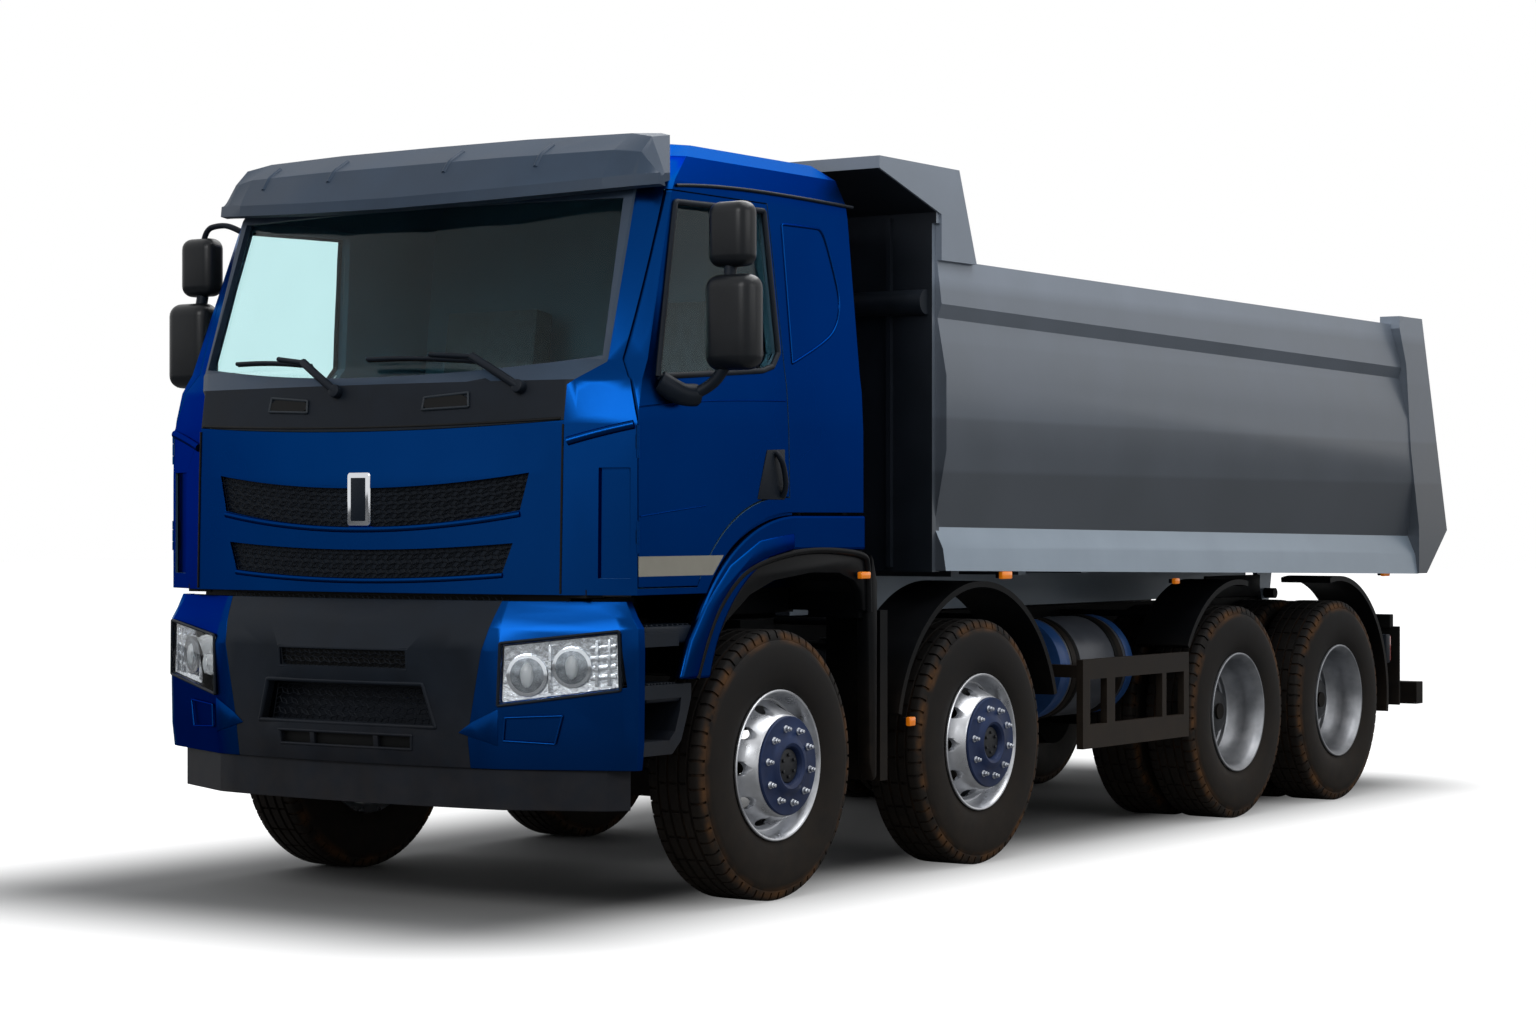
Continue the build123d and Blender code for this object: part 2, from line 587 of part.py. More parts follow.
# ---- doors, door glass and mirrors ----
for side_name, side in doors:
    with BuildPart() as door:
        add(solids[0])
        add(solids[60], mode=Mode.SUBTRACT)
        add(door_prisms[side_name, door_gap], mode=Mode.INTERSECT)
        # the door's lower edge stays as thin as its skin
        with BuildSketch(Plane.XY.offset(door_lower_z)):
            with Locations((door_front_x - 500, side * 1130)):
                Rectangle(1100, 120)
        extrude(amount=40, mode=Mode.SUBTRACT)
        with BuildSketch(Plane.XZ.offset(-side * 1330)):
            with BuildLine():
                Polyline(*window_points, close=True)
            make_face()
        extrude(amount=side * 330, mode=Mode.SUBTRACT)
        for barrel_z in hinge_heights:
            for low_z, height in ((barrel_z - 40, 40), (barrel_z + 50, 40)):
                with BuildSketch(Plane.XY.offset(low_z)):
                    with Locations((door_hinge_x, side * door_hinge_y)):
                        Circle(hinge_barrel_r + 2)
                extrude(amount=height, mode=Mode.SUBTRACT)
            with BuildSketch(Plane.XY.offset(barrel_z)):
                with Locations((door_hinge_x, side * door_hinge_y)):
                    Circle(hinge_barrel_r)
            extrude(amount=50)
            with BuildSketch(Plane.XY.offset(barrel_z)):
                with Locations((door_hinge_x, side * door_hinge_y)):
                    Circle(hinge_pin_radius + running_gap)
            extrude(amount=50, mode=Mode.SUBTRACT)
    door.part.label = f"door_{side_name}"
    export_step(door.part, f"parts/door_{side_name}.step")

    with BuildPart() as door_glass:
        with BuildSketch(Plane.XZ.offset(-side * 1330)):
            with BuildLine():
                Polyline(*window_points, close=True)
            make_face()
        extrude(amount=side * 330)
        add(solids[26], mode=Mode.INTERSECT)
        add(solids[34], mode=Mode.SUBTRACT)
    door_glass.part.label = f"door_glass_{side_name}"
    export_step(door_glass.part, f"parts/door_glass_{side_name}.step")

    # mirror heads on a bracket that stands on the door's front corner
    with BuildPart() as mirror:
        for head_x, head_y, low_z, top_z, depth, width in ((605, 1442, 2566, 2825, 115, 195),
                                                           (632, 1468, 2159, 2535, 135, 235)):
            with BuildSketch(Plane.XY.offset(low_z)):
                with Locations((axle_1_x + head_x, side * head_y)):
                    RectangleRounded(depth, width, 40)
            extrude(amount=top_z - low_z)
        with BuildSketch(Plane.XY.offset(2100)):
            with Locations((axle_1_x + 640, side * 1400)):
                Circle(20)
        extrude(amount=480)
        with BuildSketch(Plane.XZ.offset(-side * 1222)):
            with BuildLine():
                Polyline((axle_1_x + 600, 2060), (axle_1_x + 680, 2110), (axle_1_x + 860, 2105),
                         (axle_1_x + 860, 2000), (axle_1_x + 700, 1985), close=True)
            make_face()
        extrude(amount=-side * 80)
        with BuildSketch(Plane.XZ.offset(-side * 1290)):
            with Locations((axle_1_x + 640, 2100)):
                Circle(28)
        extrude(amount=-side * 130)
        with BuildSketch(Plane.XZ.offset(-side * 1380)):
            with Locations((axle_1_x + 640, 2550)):
                Rectangle(40, 60)
        extrude(amount=-side * 60)
        add(solids[0], mode=Mode.SUBTRACT)
    mirror.part.label = f"mirror_{side_name}"
    export_step(mirror.part, f"parts/mirror_{side_name}.step")

# ================= bumper, lamps, steps, front arches =================
# outline at each height: z, nose x, lamp inner x, lamp outer x and y, corner x, half width
bumper_sections = ((600, 1262, 1200, 1000, 1196, 970, 1246), (700, 1278, 1215, 1010, 1206, 975, 1256),
                   (1060, 1300, 1222, 1026, 1206, 978, 1260), (1150, 1262, 1200, 1022, 1200, 976, 1256),
                   (1195, 1240, 1180, 1012, 1170, 974, 1225), (1255, 1182, 1150, 1000, 1140, 970, 1195))
bumper_rear_x = axle_1_x + 935
bumper_solids = {}
for inset in (0, 38):
    with BuildPart() as bumper_solid:
        for z, nose, inner, outer, outer_y, corner, half in bumper_sections:
            with BuildSketch(Plane.XY.offset(z)):
                with BuildLine():
                    Polyline((axle_1_x + inner - inset, -757 + inset / 3), (axle_1_x + outer - inset, -outer_y + inset / 2),
                             (axle_1_x + corner - inset / 3, -half + inset), (bumper_rear_x, -half + inset),
                             (bumper_rear_x, half - inset), (axle_1_x + corner - inset / 3, half - inset),
                             (axle_1_x + outer - inset, outer_y - inset / 2), (axle_1_x + inner - inset, 757 - inset / 3))
                    ThreePointArc((axle_1_x + inner - inset, 757 - inset / 3), (axle_1_x + nose - inset, 0),
                                  (axle_1_x + inner - inset, -757 + inset / 3))
                make_face()
        loft(ruled=True)
    bumper_solids[inset] = bumper_solid.part
centre_outline = ((725, 1300), (725, 1262), (620, 730), (620, 560), (-620, 560), (-620, 730), (-725, 1262),
                  (-725, 1300))
lamp_outline = ((760, 1082), (1206, 1134), (1224, 923), (757, 859))
with BuildPart() as bumper:
    add(bumper_solids[0])
    add(bumper_solids[38], mode=Mode.SUBTRACT)
    with BuildSketch(Plane.YZ.offset(axle_1_x + 850)):
        with BuildLine():
            Polyline(*centre_outline, close=True)
        make_face()
        for side in (1, -1):
            with BuildLine():
                Polyline(*[(side * y, z) for y, z in lamp_outline], close=True)
            make_face()
    extrude(amount=600, mode=Mode.SUBTRACT)
bumper.part.label = "bumper"
export_step(bumper.part, "parts/bumper.step")

with BuildPart() as headlamps:
    with BuildSketch(Plane.YZ.offset(axle_1_x + 850)):
        for side in (1, -1):
            with BuildLine():
                Polyline(*[(side * y, z) for y, z in lamp_outline], close=True)
            make_face()
    extrude(amount=600)
    add(bumper_solids[0], mode=Mode.INTERSECT)
    add(bumper_solids[38], mode=Mode.SUBTRACT)
headlamps.part.label = "headlamps"
export_step(headlamps.part, "parts/headlamps.step")

with BuildPart() as bumper_center:
    with BuildSketch(Plane.YZ.offset(axle_1_x + 850)):
        with BuildLine():
            Polyline(*centre_outline, close=True)
        make_face()
    extrude(amount=600)
    add(bumper_solids[0], mode=Mode.INTERSECT)
    add(bumper_solids[38], mode=Mode.SUBTRACT)
    # air intake, number-plate recess and lower slot
    with BuildSketch(Plane.YZ.offset(axle_1_x + 850)):
        with BuildLine():
            Polyline((406, 919), (459, 759), (-459, 759), (-406, 919), close=True)
        make_face()
    extrude(amount=600, mode=Mode.SUBTRACT)
    # valance under the whole width
    with BuildSketch(Plane.XY.offset(440)):
        with BuildLine():
            Polyline((axle_1_x + 1190, -757), (axle_1_x + 1010, -1130), (bumper_rear_x, -1190), (bumper_rear_x, -1150),
                     (axle_1_x + 980, -1100), (axle_1_x + 1150, -740), (axle_1_x + 1150, 740), (axle_1_x + 980, 1100),
                     (bumper_rear_x, 1150), (bumper_rear_x, 1190), (axle_1_x + 1010, 1130), (axle_1_x + 1190, 757))
            ThreePointArc((axle_1_x + 1190, 757), (axle_1_x + 1245, 0), (axle_1_x + 1190, -757))
        make_face()
    extrude(amount=160)
    # closing panel behind the intake
    with BuildSketch(Plane.YZ.offset(axle_1_x + 1148)):
        with Locations((0, 806)):
            Rectangle(1380, 388)
    extrude(amount=12)
    # stays that hang the bumper on the rails
    for side in (1, -1):
        with BuildSketch(Plane.XY.offset(925)):
            with Locations((axle_1_x + 1110, side * 366)):
                Rectangle(300, 50)
        extrude(amount=75)
bumper_center.part.label = "bumper_center"
export_step(bumper_center.part, "parts/bumper_center.step")

# treads: lower z, upper z, rear end before the axle, inner y
treads = ((650, 705, 665, 1000), (870, 925, 592, 985), (1075, 1130, 615, 960))
with BuildPart() as steps:
    for side in (1, -1):
        for low_z, top_z, rear, inner_y in treads:
            with BuildSketch(Plane.XY.offset(low_z)):
                with BuildLine():
                    Polyline((axle_1_x + rear, side * inner_y), (bumper_rear_x, side * inner_y),
                             (bumper_rear_x, side * 1232), (axle_1_x + rear + 60, side * 1232),
                             (axle_1_x + rear, side * 1170), close=True)
                make_face()
            extrude(amount=top_z - low_z)
        # curved end that joins the two lower treads
        with BuildSketch(Plane.XZ.offset(-side * 1000)):
            with BuildLine():
                Polyline((axle_1_x + 592, 925), (axle_1_x + 592, 870), (axle_1_x + 622, 790), (axle_1_x + 660, 700),
                         (axle_1_x + 720, 650), (axle_1_x + 800, 650), (axle_1_x + 740, 705), (axle_1_x + 700, 740),
                         (axle_1_x + 668, 820), (axle_1_x + 650, 925), close=True)
            make_face()
        extrude(amount=-side * 232)
        # back wall, and the beam and shield between it and the rail
        with BuildSketch(Plane.XZ.offset(-side * 960)):
            with BuildLine():
                Polyline((axle_1_x + 690, 650), (bumper_rear_x, 650), (bumper_rear_x, 1262), (axle_1_x + 660, 1262),
                         (axle_1_x + 660, 800), close=True)
            make_face()
        extrude(amount=-side * 40)
        with BuildSketch(Plane.XY.offset(840)):
            with Locations((axle_1_x + 775, side * 695)):
                Rectangle(60, 530)
        extrude(amount=60)
        with BuildSketch(Plane.YZ.offset(axle_1_x + 880)):
            with Locations((side * 730, 1176)):
                Rectangle(480, 172)
        extrude(amount=12)
steps.part.label = "steps"
export_step(steps.part, "parts/steps.step")

with BuildPart() as front_arches:
    for side in (1, -1):
        with BuildSketch(Plane.XZ.offset(-side * 1250)):
            with BuildLine():
                Polyline((cab_rear_x - 20, arch_top_z), (axle_1_x - 120, arch_top_z))
                ThreePointArc((axle_1_x - 120, arch_top_z), (axle_1_x + 375, 1405), (axle_1_x + 655, 940))
                Polyline((axle_1_x + 655, 940), (axle_1_x + 480, 940))
                ThreePointArc((axle_1_x + 480, 940), (axle_1_x + 265, 1290), (axle_1_x - 130, 1447))
                Polyline((axle_1_x - 130, 1447), (cab_rear_x - 20, 1443), (cab_rear_x - 20, arch_top_z))
            make_face()
        extrude(amount=side * 36)
front_arches.part.label = "front_arches"
export_step(front_arches.part, "parts/front_arches.step")

# ---- black liners and mudguards: centre x, radius, thickness, first angle, last angle ----
with BuildPart() as mudguards:
    for side in (1, -1):
        with BuildSketch(Plane.XZ.offset(-side * 1214)):
            with BuildLine():
                Polyline((cab_rear_x - 45, 1440), (axle_1_x - 100, 1440))
                ThreePointArc((axle_1_x - 100, 1440), (axle_1_x + 385, 1285), (axle_1_x + 600, 960))
                Polyline((axle_1_x + 600, 960), (axle_1_x + 570, 950))
                ThreePointArc((axle_1_x + 570, 950), (axle_1_x + 360, 1255), (axle_1_x - 100, 1405))
                Polyline((axle_1_x - 100, 1405), (cab_rear_x - 20, 1405), (cab_rear_x - 20, 1150),
                         (axle_1_x - 860, 1150), (axle_1_x - 860, 1180), (cab_rear_x - 45, 1180),
                         (cab_rear_x - 45, 1440))
            make_face()
        extrude(amount=side * 264)
        # flap behind the first wheel
        with BuildSketch(Plane.XY.offset(440)):
            with Locations((axle_1_x - 830, side * 1100)):
                Rectangle(60, 280)
        extrude(amount=740)
        for guard_x, guard_r, low_angle, high_angle in ((axle_2_x, 720, 13, 165), (axle_3_x, 685, 32, 100),
                                                        (axle_4_x, 685, 80, 188)):
            with BuildSketch(Plane.XZ.offset(-side * 1250)):
                with BuildLine():
                    outer = CenterArc((guard_x, wheel_z), guard_r + 14, low_angle, high_angle - low_angle)
                    inner = CenterArc((guard_x, wheel_z), guard_r - 14, low_angle, high_angle - low_angle)
                    Line(outer @ 0, inner @ 0)
                    Line(outer @ 1, inner @ 1)
                make_face()
            extrude(amount=side * 300)
        # stays out from the rail
        for guard_x, guard_r, turn in ((axle_2_x, 720, 0.643), (axle_2_x, 720, -0.643), (axle_3_x, 685, 0.643),
                                       (axle_4_x, 685, -0.643)):
            with BuildSketch(Plane.XZ.offset(-side * rail_y)):
                with Locations((guard_x + turn * guard_r, wheel_z + 0.766 * guard_r)):
                    Circle(18)
            extrude(amount=-side * 540)
        with BuildSketch(Plane.XZ.offset(-side * rail_y)):
            with Locations((axle_1_x - 830, 1020)):
                Circle(20)
        extrude(amount=-side * 560)
mudguards.part.label = "mudguards"
export_step(mudguards.part, "parts/mudguards.step")

# ---- tanks between the axles ----
with BuildPart() as tanks:
    for side in (1, -1):
        with BuildSketch(Plane.YZ.offset(axle_1_x - 3610)):
            with Locations((side * 745, 830)):
                Circle(250)
        extrude(amount=750)
        for strap_x in (axle_1_x - 3480, axle_1_x - 3000):
            with BuildSketch(Plane.YZ.offset(strap_x - 30)):
                with Locations((side * 745, 830)):
                    Circle(256)
                with Locations((side * 480, 830)):
                    Rectangle(100, 200)
            extrude(amount=60)
tanks.part.label = "tanks"
export_step(tanks.part, "parts/tanks.step")

# ---- side guards: windows as first x, last x ----
guard_windows = ((-2860, -2690), (-3450, -2945), (-3690, -3495))
with BuildPart() as side_guards:
    for side in (1, -1):
        with BuildSketch(Plane.XZ.offset(-side * 1250)):
            with Locations((axle_1_x - 3181, 681)):
                Rectangle(1130, 432)
            for first, last in guard_windows:
                with Locations((axle_1_x + (first + last) / 2, 690)):
                    Rectangle(last - first, 220, mode=Mode.SUBTRACT)
        extrude(amount=side * 36)
        for stay_x in (-2650, -3715):
            with BuildSketch(Plane.XZ.offset(-side * rail_y)):
                with Locations((axle_1_x + stay_x, 840)):
                    Rectangle(60, 60)
            extrude(amount=-side * 790)
side_guards.part.label = "side_guards"
export_step(side_guards.part, "parts/side_guards.step")

# ---- rear under-run bar, lamp brackets and mudflaps ----
with BuildPart() as rear_bumper:
    for side in (1, -1):
        with BuildSketch(Plane.XZ.offset(-(side * 390 + 30))):
            with BuildLine():
                Polyline((rail_rear_x, 1000), (rail_rear_x, 800), (axle_1_x - 7040, 465), (axle_1_x - 7040, 598),
                         (rail_rear_x - 60, 1000), close=True)
            make_face()
        extrude(amount=60)
        # lamp board, lamp and mudflap
        with BuildSketch(Plane.XZ.offset(-side * 460)):
            with Locations((axle_1_x - 6500, 980)):
                Rectangle(50, 80)
        extrude(amount=-side * 730)
        with BuildSketch(Plane.XY.offset(490)):
            with Locations((axle_1_x - 6500, side * 1030)):
                Rectangle(16, 420)
        extrude(amount=460)
        with BuildSketch(Plane.XY.offset(735)):
            with Locations((axle_1_x - 6660, side * 1045)):
                Rectangle(60, 220)
        extrude(amount=120)
        with BuildSketch(Plane.XY.offset(770)):
            with Locations((axle_1_x - 6569, side * 1045)):
                Rectangle(122, 60)
        extrude(amount=60)
    with BuildSketch(Plane.XZ.offset(-1120)):
        with Locations((axle_1_x - 7090, 531.5)):
            Rectangle(100, 133)
    extrude(amount=2240)
    with BuildSketch(Plane.XZ.offset(-460)):
        with Locations((axle_1_x - 6500, 980)):
            Rectangle(50, 80)
    extrude(amount=920)
rear_bumper.part.label = "rear_bumper"
export_step(rear_bumper.part, "parts/rear_bumper.step")

# ================= dump body =================
# outer line of the side wall: y, z at the front, z at the back
wall_profile = ((1225, 2745, 2715), (1250, 2540, 2463), (1228, 2478, 2400), (1275, 2218, 2160),
                (1275, 1884, 1822), (1210, 1541, 1479), (1257, 1443, 1370), (1272, 1345, 1256))
wall_inner_y = 1165
wall_rear_x = axle_1_x - 6700
post_profile = ((axle_1_x - 6400, 2762), (axle_1_x - 6735, 2762), (tail_x, 1513), (axle_1_x - 6810, 1258),
                (axle_1_x - 6690, 1258), (axle_1_x - 6690, 1530), (axle_1_x - 6568, 1984), (axle_1_x - 6500, 2480),
                (axle_1_x - 6400, 2690))
with BuildPart() as dump_body:
    for side in (1, -1):
        for wall_x, column in ((body_front_x, 1), (wall_rear_x, 2)):
            with BuildSketch(Plane.YZ.offset(wall_x)):
                with BuildLine():
                    Polyline(*[(side * point[0], point[column]) for point in wall_profile],
                             (side * 1110, wall_profile[-1][column]), (side * 1110, floor_z),
                             (side * wall_inner_y, floor_z + 60), (side * wall_inner_y, wall_profile[0][column]),
                             close=True)
                make_face()
        loft(ruled=True)
        # rear post with the ear and pin of the tailgate hinge
        with BuildSketch(Plane.XZ.offset(-side * 1282)):
            with BuildLine():
                Polyline(*post_profile, close=True)
            make_face()
        extrude(amount=side * 122)
        with BuildSketch(Plane.XZ.offset(-side * 1200)):
            with BuildLine():
                Polyline((gate_pivot_x - 38, 2700), (gate_pivot_x - 38, gate_pivot_z), (gate_pivot_x + 38, gate_pivot_z),
                         (gate_pivot_x + 80, 2700), close=True)
            make_face()
            with Locations((gate_pivot_x, gate_pivot_z)):
                Circle(38)
        extrude(amount=side * 40)
        with BuildSketch(Plane.XZ.offset(-side * 1200)):
            with Locations((gate_pivot_x, gate_pivot_z)):
                Circle(gate_pin_r)
        extrude(amount=side * 115)
        # canopy cheek
        with BuildSketch(Plane.XZ.offset(-side * 1250)):
            with BuildLine():
                Polyline((axle_1_x - 780, 3154), (axle_1_x - 1455, 3151), (axle_1_x - 1610, 2735),
                         (body_front_x, 2735), (body_front_x, 2940), (axle_1_x - 780, 3100), close=True)
            make_face()
        extrude(amount=side * 40)
        # long beams under the floor, hinge ears and hoist lugs
        with BuildSketch(Plane.YZ.offset(hinge_x + 175)):
            with Locations((side * (rail_y - 40), 1260)):
                Rectangle(80, 260)
        extrude(amount=body_front_x - hinge_x - 175)
        with BuildSketch(Plane.XZ.offset(-(side * (rail_y + 30) + 15))):
            with BuildLine():
                Polyline((hinge_x - 60, hinge_z), (hinge_x - 110, floor_z - 50), (hinge_x + 160, floor_z - 50),
                         (hinge_x + 60, hinge_z), close=True)
            make_face()
            with Locations((hinge_x, hinge_z)):
                Circle(60)
                Circle(hinge_pin_r + running_gap, mode=Mode.SUBTRACT)
        extrude(amount=30)
        with BuildSketch(Plane.XZ.offset(-(side * 140 + 14))):
            with BuildLine():
                Polyline((body_front_x + 30, 1210), (body_front_x + 30, 1640), (hoist_x + 60, 1430),
                         (hoist_x + 60, 1280), (hoist_x - 40, 1210), close=True)
            make_face()
            with Locations((hoist_x, trunnion_z)):
                Circle(30 + running_gap, mode=Mode.SUBTRACT)
        extrude(amount=28)
    # floor and its cross bearers
    with BuildSketch(Plane.XY.offset(floor_z - 50)):
        with Locations(((body_front_x - 30 + axle_1_x - 6815) / 2, 0)):
            Rectangle(body_front_x - 30 - (axle_1_x - 6815), 2 * floor_half_width)
    extrude(amount=50)
    for bearer in range(9):
        with BuildSketch(Plane.XY.offset(1312)):
            with Locations((body_front_x - 340 - bearer * 620, 0)):
                Rectangle(70, 2230)
        extrude(amount=60)
    # headboard with its ribs and cross tube
    with BuildSketch(Plane.YZ.offset(body_front_x - 30)):
        with Locations((0, 2140)):
            Rectangle(2436, 1600)
    extrude(amount=60)
    for rib_y in (-1000, -750, -500, -250, 250, 500, 750, 1000):
        with BuildSketch(Plane.XY.offset(1360)):
            with Locations((body_front_x + 38, rib_y)):
                Rectangle(30, 24)
        extrude(amount=1570)
    with BuildSketch(Plane.XZ.offset(-1197)):
        with Locations((body_front_x + 45, 2548)):
            Circle(56)
    extrude(amount=2394)
    # canopy: sloping underside and flat top
    with BuildSketch(Plane.XZ.offset(-1240)):
        with BuildLine():
            Polyline((body_front_x + 30, 2900), (body_front_x + 30, 2949), (axle_1_x - 780, 3100), (axle_1_x - 780, 3154),
                     (axle_1_x - 1455, 3151), (axle_1_x - 1455, 3136), (axle_1_x - 840, 3136), (body_front_x - 20, 2975),
                     (body_front_x - 30, 2900), close=True)
        make_face()
    extrude(amount=2480)
dump_body.part.label = "dump_body"
export_step(dump_body.part, "parts/dump_body.step")

with BuildPart() as tailgate:
    with BuildSketch(Plane.XZ.offset(-1150)):
        with BuildLine():
            Polyline((axle_1_x - 6750, 2720), (axle_1_x - 7108, 1520), (axle_1_x - 6866, 1300), (axle_1_x - 6805, 1332),
                     (axle_1_x - 7035, 1540), (axle_1_x - 6688, 2720), close=True)
        make_face()
    extrude(amount=2300)
    for side in (1, -1):
        with BuildSketch(Plane.XZ.offset(-side * 1132)):
            with BuildLine():
                Polyline((gate_pivot_x - 34, gate_pivot_z), (gate_pivot_x + 34, gate_pivot_z), (axle_1_x - 6690, 2610),
                         (axle_1_x - 6750, 2640), close=True)
            make_face()
            with Locations((gate_pivot_x, gate_pivot_z)):
                Circle(36)
                Circle(gate_pin_r + running_gap, mode=Mode.SUBTRACT)
        extrude(amount=side * 32)
tailgate.part.label = "tailgate"
export_step(tailgate.part, "parts/tailgate.step")

# ================= hoist =================
with BuildPart() as hoist_tube:
    with BuildSketch(Plane.XY.offset(1200)):
        with Locations((hoist_x, 0)):
            Circle(tube_r)
            Circle(tube_r - 13, mode=Mode.SUBTRACT)
    extrude(amount=1630)
    with BuildSketch(Plane.XY.offset(1200)):
        with Locations((hoist_x, 0)):
            Circle(tube_r)
            Circle(stage_1_r + running_gap, mode=Mode.SUBTRACT)
    extrude(amount=40)
    with BuildSketch(Plane.XY.offset(2830)):
        with Locations((hoist_x, 0)):
            Circle(tube_r)
    extrude(amount=20)
    for side in (1, -1):
        with BuildSketch(Plane.XZ.offset(-side * 104)):
            with Locations((hoist_x, trunnion_z)):
                Circle(30)
        extrude(amount=-side * 50)
hoist_tube.part.label = "hoist_tube"
export_step(hoist_tube.part, "parts/hoist_tube.step")

for stage, outer_r, next_r, low_z in ((1, stage_1_r, stage_2_r, 1175), (2, stage_2_r, stage_3_r, 1150)):
    with BuildPart() as hoist_stage:
        with BuildSketch(Plane.XY.offset(low_z)):
            with Locations((hoist_x, 0)):
                Circle(outer_r)
                Circle(next_r + 4, mode=Mode.SUBTRACT)
        extrude(amount=1625)
        # guide collar at the open end
        with BuildSketch(Plane.XY.offset(low_z)):
            with Locations((hoist_x, 0)):
                Circle(outer_r)
                Circle(next_r + running_gap, mode=Mode.SUBTRACT)
        extrude(amount=40)
    hoist_stage.part.label = f"hoist_stage_{stage}"
    export_step(hoist_stage.part, f"parts/hoist_stage_{stage}.step")

with BuildPart() as hoist_rod:
    with BuildSketch(Plane.XY.offset(hoist_eye_z)):
        with Locations((hoist_x, 0)):
            Circle(stage_3_r)
    extrude(amount=1850)
    with BuildSketch(Plane.XZ.offset(-48)):
        with Locations((hoist_x, hoist_eye_z)):
            Circle(50)
    extrude(amount=96)
hoist_rod.part.label = "hoist_rod"
export_step(hoist_rod.part, "parts/hoist_rod.step")
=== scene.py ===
import math

import bmesh
import bpy
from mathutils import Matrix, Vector


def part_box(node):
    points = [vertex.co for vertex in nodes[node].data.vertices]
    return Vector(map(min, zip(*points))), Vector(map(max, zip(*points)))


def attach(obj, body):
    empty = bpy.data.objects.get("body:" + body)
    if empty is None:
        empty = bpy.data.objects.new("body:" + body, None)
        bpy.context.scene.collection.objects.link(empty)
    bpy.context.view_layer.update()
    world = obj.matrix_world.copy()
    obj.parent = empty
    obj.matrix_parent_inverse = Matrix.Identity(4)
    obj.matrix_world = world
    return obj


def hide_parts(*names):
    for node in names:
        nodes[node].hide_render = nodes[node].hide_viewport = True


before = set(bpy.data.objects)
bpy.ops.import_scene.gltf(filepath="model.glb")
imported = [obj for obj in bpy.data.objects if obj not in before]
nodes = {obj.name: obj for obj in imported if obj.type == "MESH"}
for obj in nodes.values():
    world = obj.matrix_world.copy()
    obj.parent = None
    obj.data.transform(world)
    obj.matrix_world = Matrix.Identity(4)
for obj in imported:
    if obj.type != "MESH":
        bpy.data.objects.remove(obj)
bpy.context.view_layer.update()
sides = (("left", 1), ("right", -1))
places = ("front", "second", "third", "fourth")


def middle(node):
    low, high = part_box(node)
    return (low + high) / 2


tyreWidth = 0.3
axleX = {place: middle("rim_" + place + "_left").x for place in places}
wheelZ = middle("rim_front_left").z
noseX = axleX["front"]  # the cab's measures are taken from the first axle
print("frame loaded:", len(nodes), "nodes")

# ---- finishes ----


def tone(red, green, blue):  # colour as seen on a screen, 0 to 255
    shares = (red / 255, green / 255, blue / 255)
    return tuple(((c + 0.055) / 1.055) ** 2.4 if c > 0.04 else c / 12.92 for c in shares) + (1,)


def addNode(tree, kind, inputs, **settings):
    # an input that is another node's output is linked, any other is set
    node = tree.nodes.new("ShaderNode" + kind)
    for key, value in settings.items():
        setattr(node, key, value)
    for key, value in inputs.items():
        if isinstance(value, bpy.types.NodeSocket):
            tree.links.new(value, node.inputs[key])
        else:
            node.inputs[key].default_value = value
    return node


def multiply(tree, first, second):
    return addNode(tree, "Math", {0: first, 1: second}, operation="MULTIPLY").outputs["Value"]


def spanOf(tree, value, low, high, **limits):
    # value spread from low..high to 0..1, or to the limits given
    inputs = {"Value": value, "From Min": low, "From Max": high}
    inputs.update(limits)
    return addNode(tree, "MapRange", inputs).outputs["Result"]


def blend(tree, share, first, second):
    return addNode(tree, "Mix", {0: share, 6: first, 7: second}, data_type="RGBA").outputs[2]


def addDust(tree, place, colour, dust):
    # road dust that thins out with height
    height = addNode(tree, "SeparateXYZ", {"Vector": place}).outputs["Z"]
    thick = spanOf(tree, height, dust["top"], dust["low"])
    speckle = addNode(tree, "TexNoise", {"Scale": 14, "Detail": 8, "Vector": place})
    amount = multiply(tree, multiply(tree, thick, speckle.outputs["Fac"]), dust["amount"])
    return blend(tree, amount, colour, tone(*dust["colour"]))


def addPaintedFacetLight(tree, place, colour, bands):
    # painted light and shade: the colour is made lighter towards the top and darker towards the bottom in steps by
    # height, standing in for how the light falls on the pressed facets along the body's side
    height = addNode(tree, "SeparateXYZ", {"Vector": place}).outputs["Z"]
    lowest, highest = bands[0][0], bands[-1][0]
    levels = addNode(tree, "ValToRGB", {"Fac": spanOf(tree, height, lowest, highest)})
    stops = levels.color_ramp.elements
    while len(stops) < len(bands):
        stops.new(0.5)
    for stop, (height, level) in zip(stops, bands):
        stop.position = (height - lowest) / (highest - lowest)
        stop.color = (level / 2, level / 2, level / 2, 1)
    facet = addNode(tree, "VectorMath", {0: colour, 1: levels.outputs["Color"], 2: (0, 0, 0)},
                    operation="MULTIPLY_ADD")
    double = addNode(tree, "VectorMath", {0: facet.outputs["Vector"], "Scale": 2}, operation="SCALE")
    return double.outputs["Vector"]


def addWear(tree, place, colour, wear):
    # brown wear in a ring round the tyre's shoulder
    ring = addNode(tree, "Attribute", {}, attribute_name="rubberRadius").outputs["Fac"]
    blotch = addNode(tree, "TexNoise", {"Scale": 9, "Detail": 6, "Vector": place})
    level = spanOf(tree, blotch.outputs["Fac"], 0.42, 0.68, **{"To Max": 0.75})
    for start, end in ((0.496, 0.526), (0.556, 0.536)):
        level = multiply(tree, level, spanOf(tree, ring, start, end))
    return blend(tree, level, colour, tone(*wear))


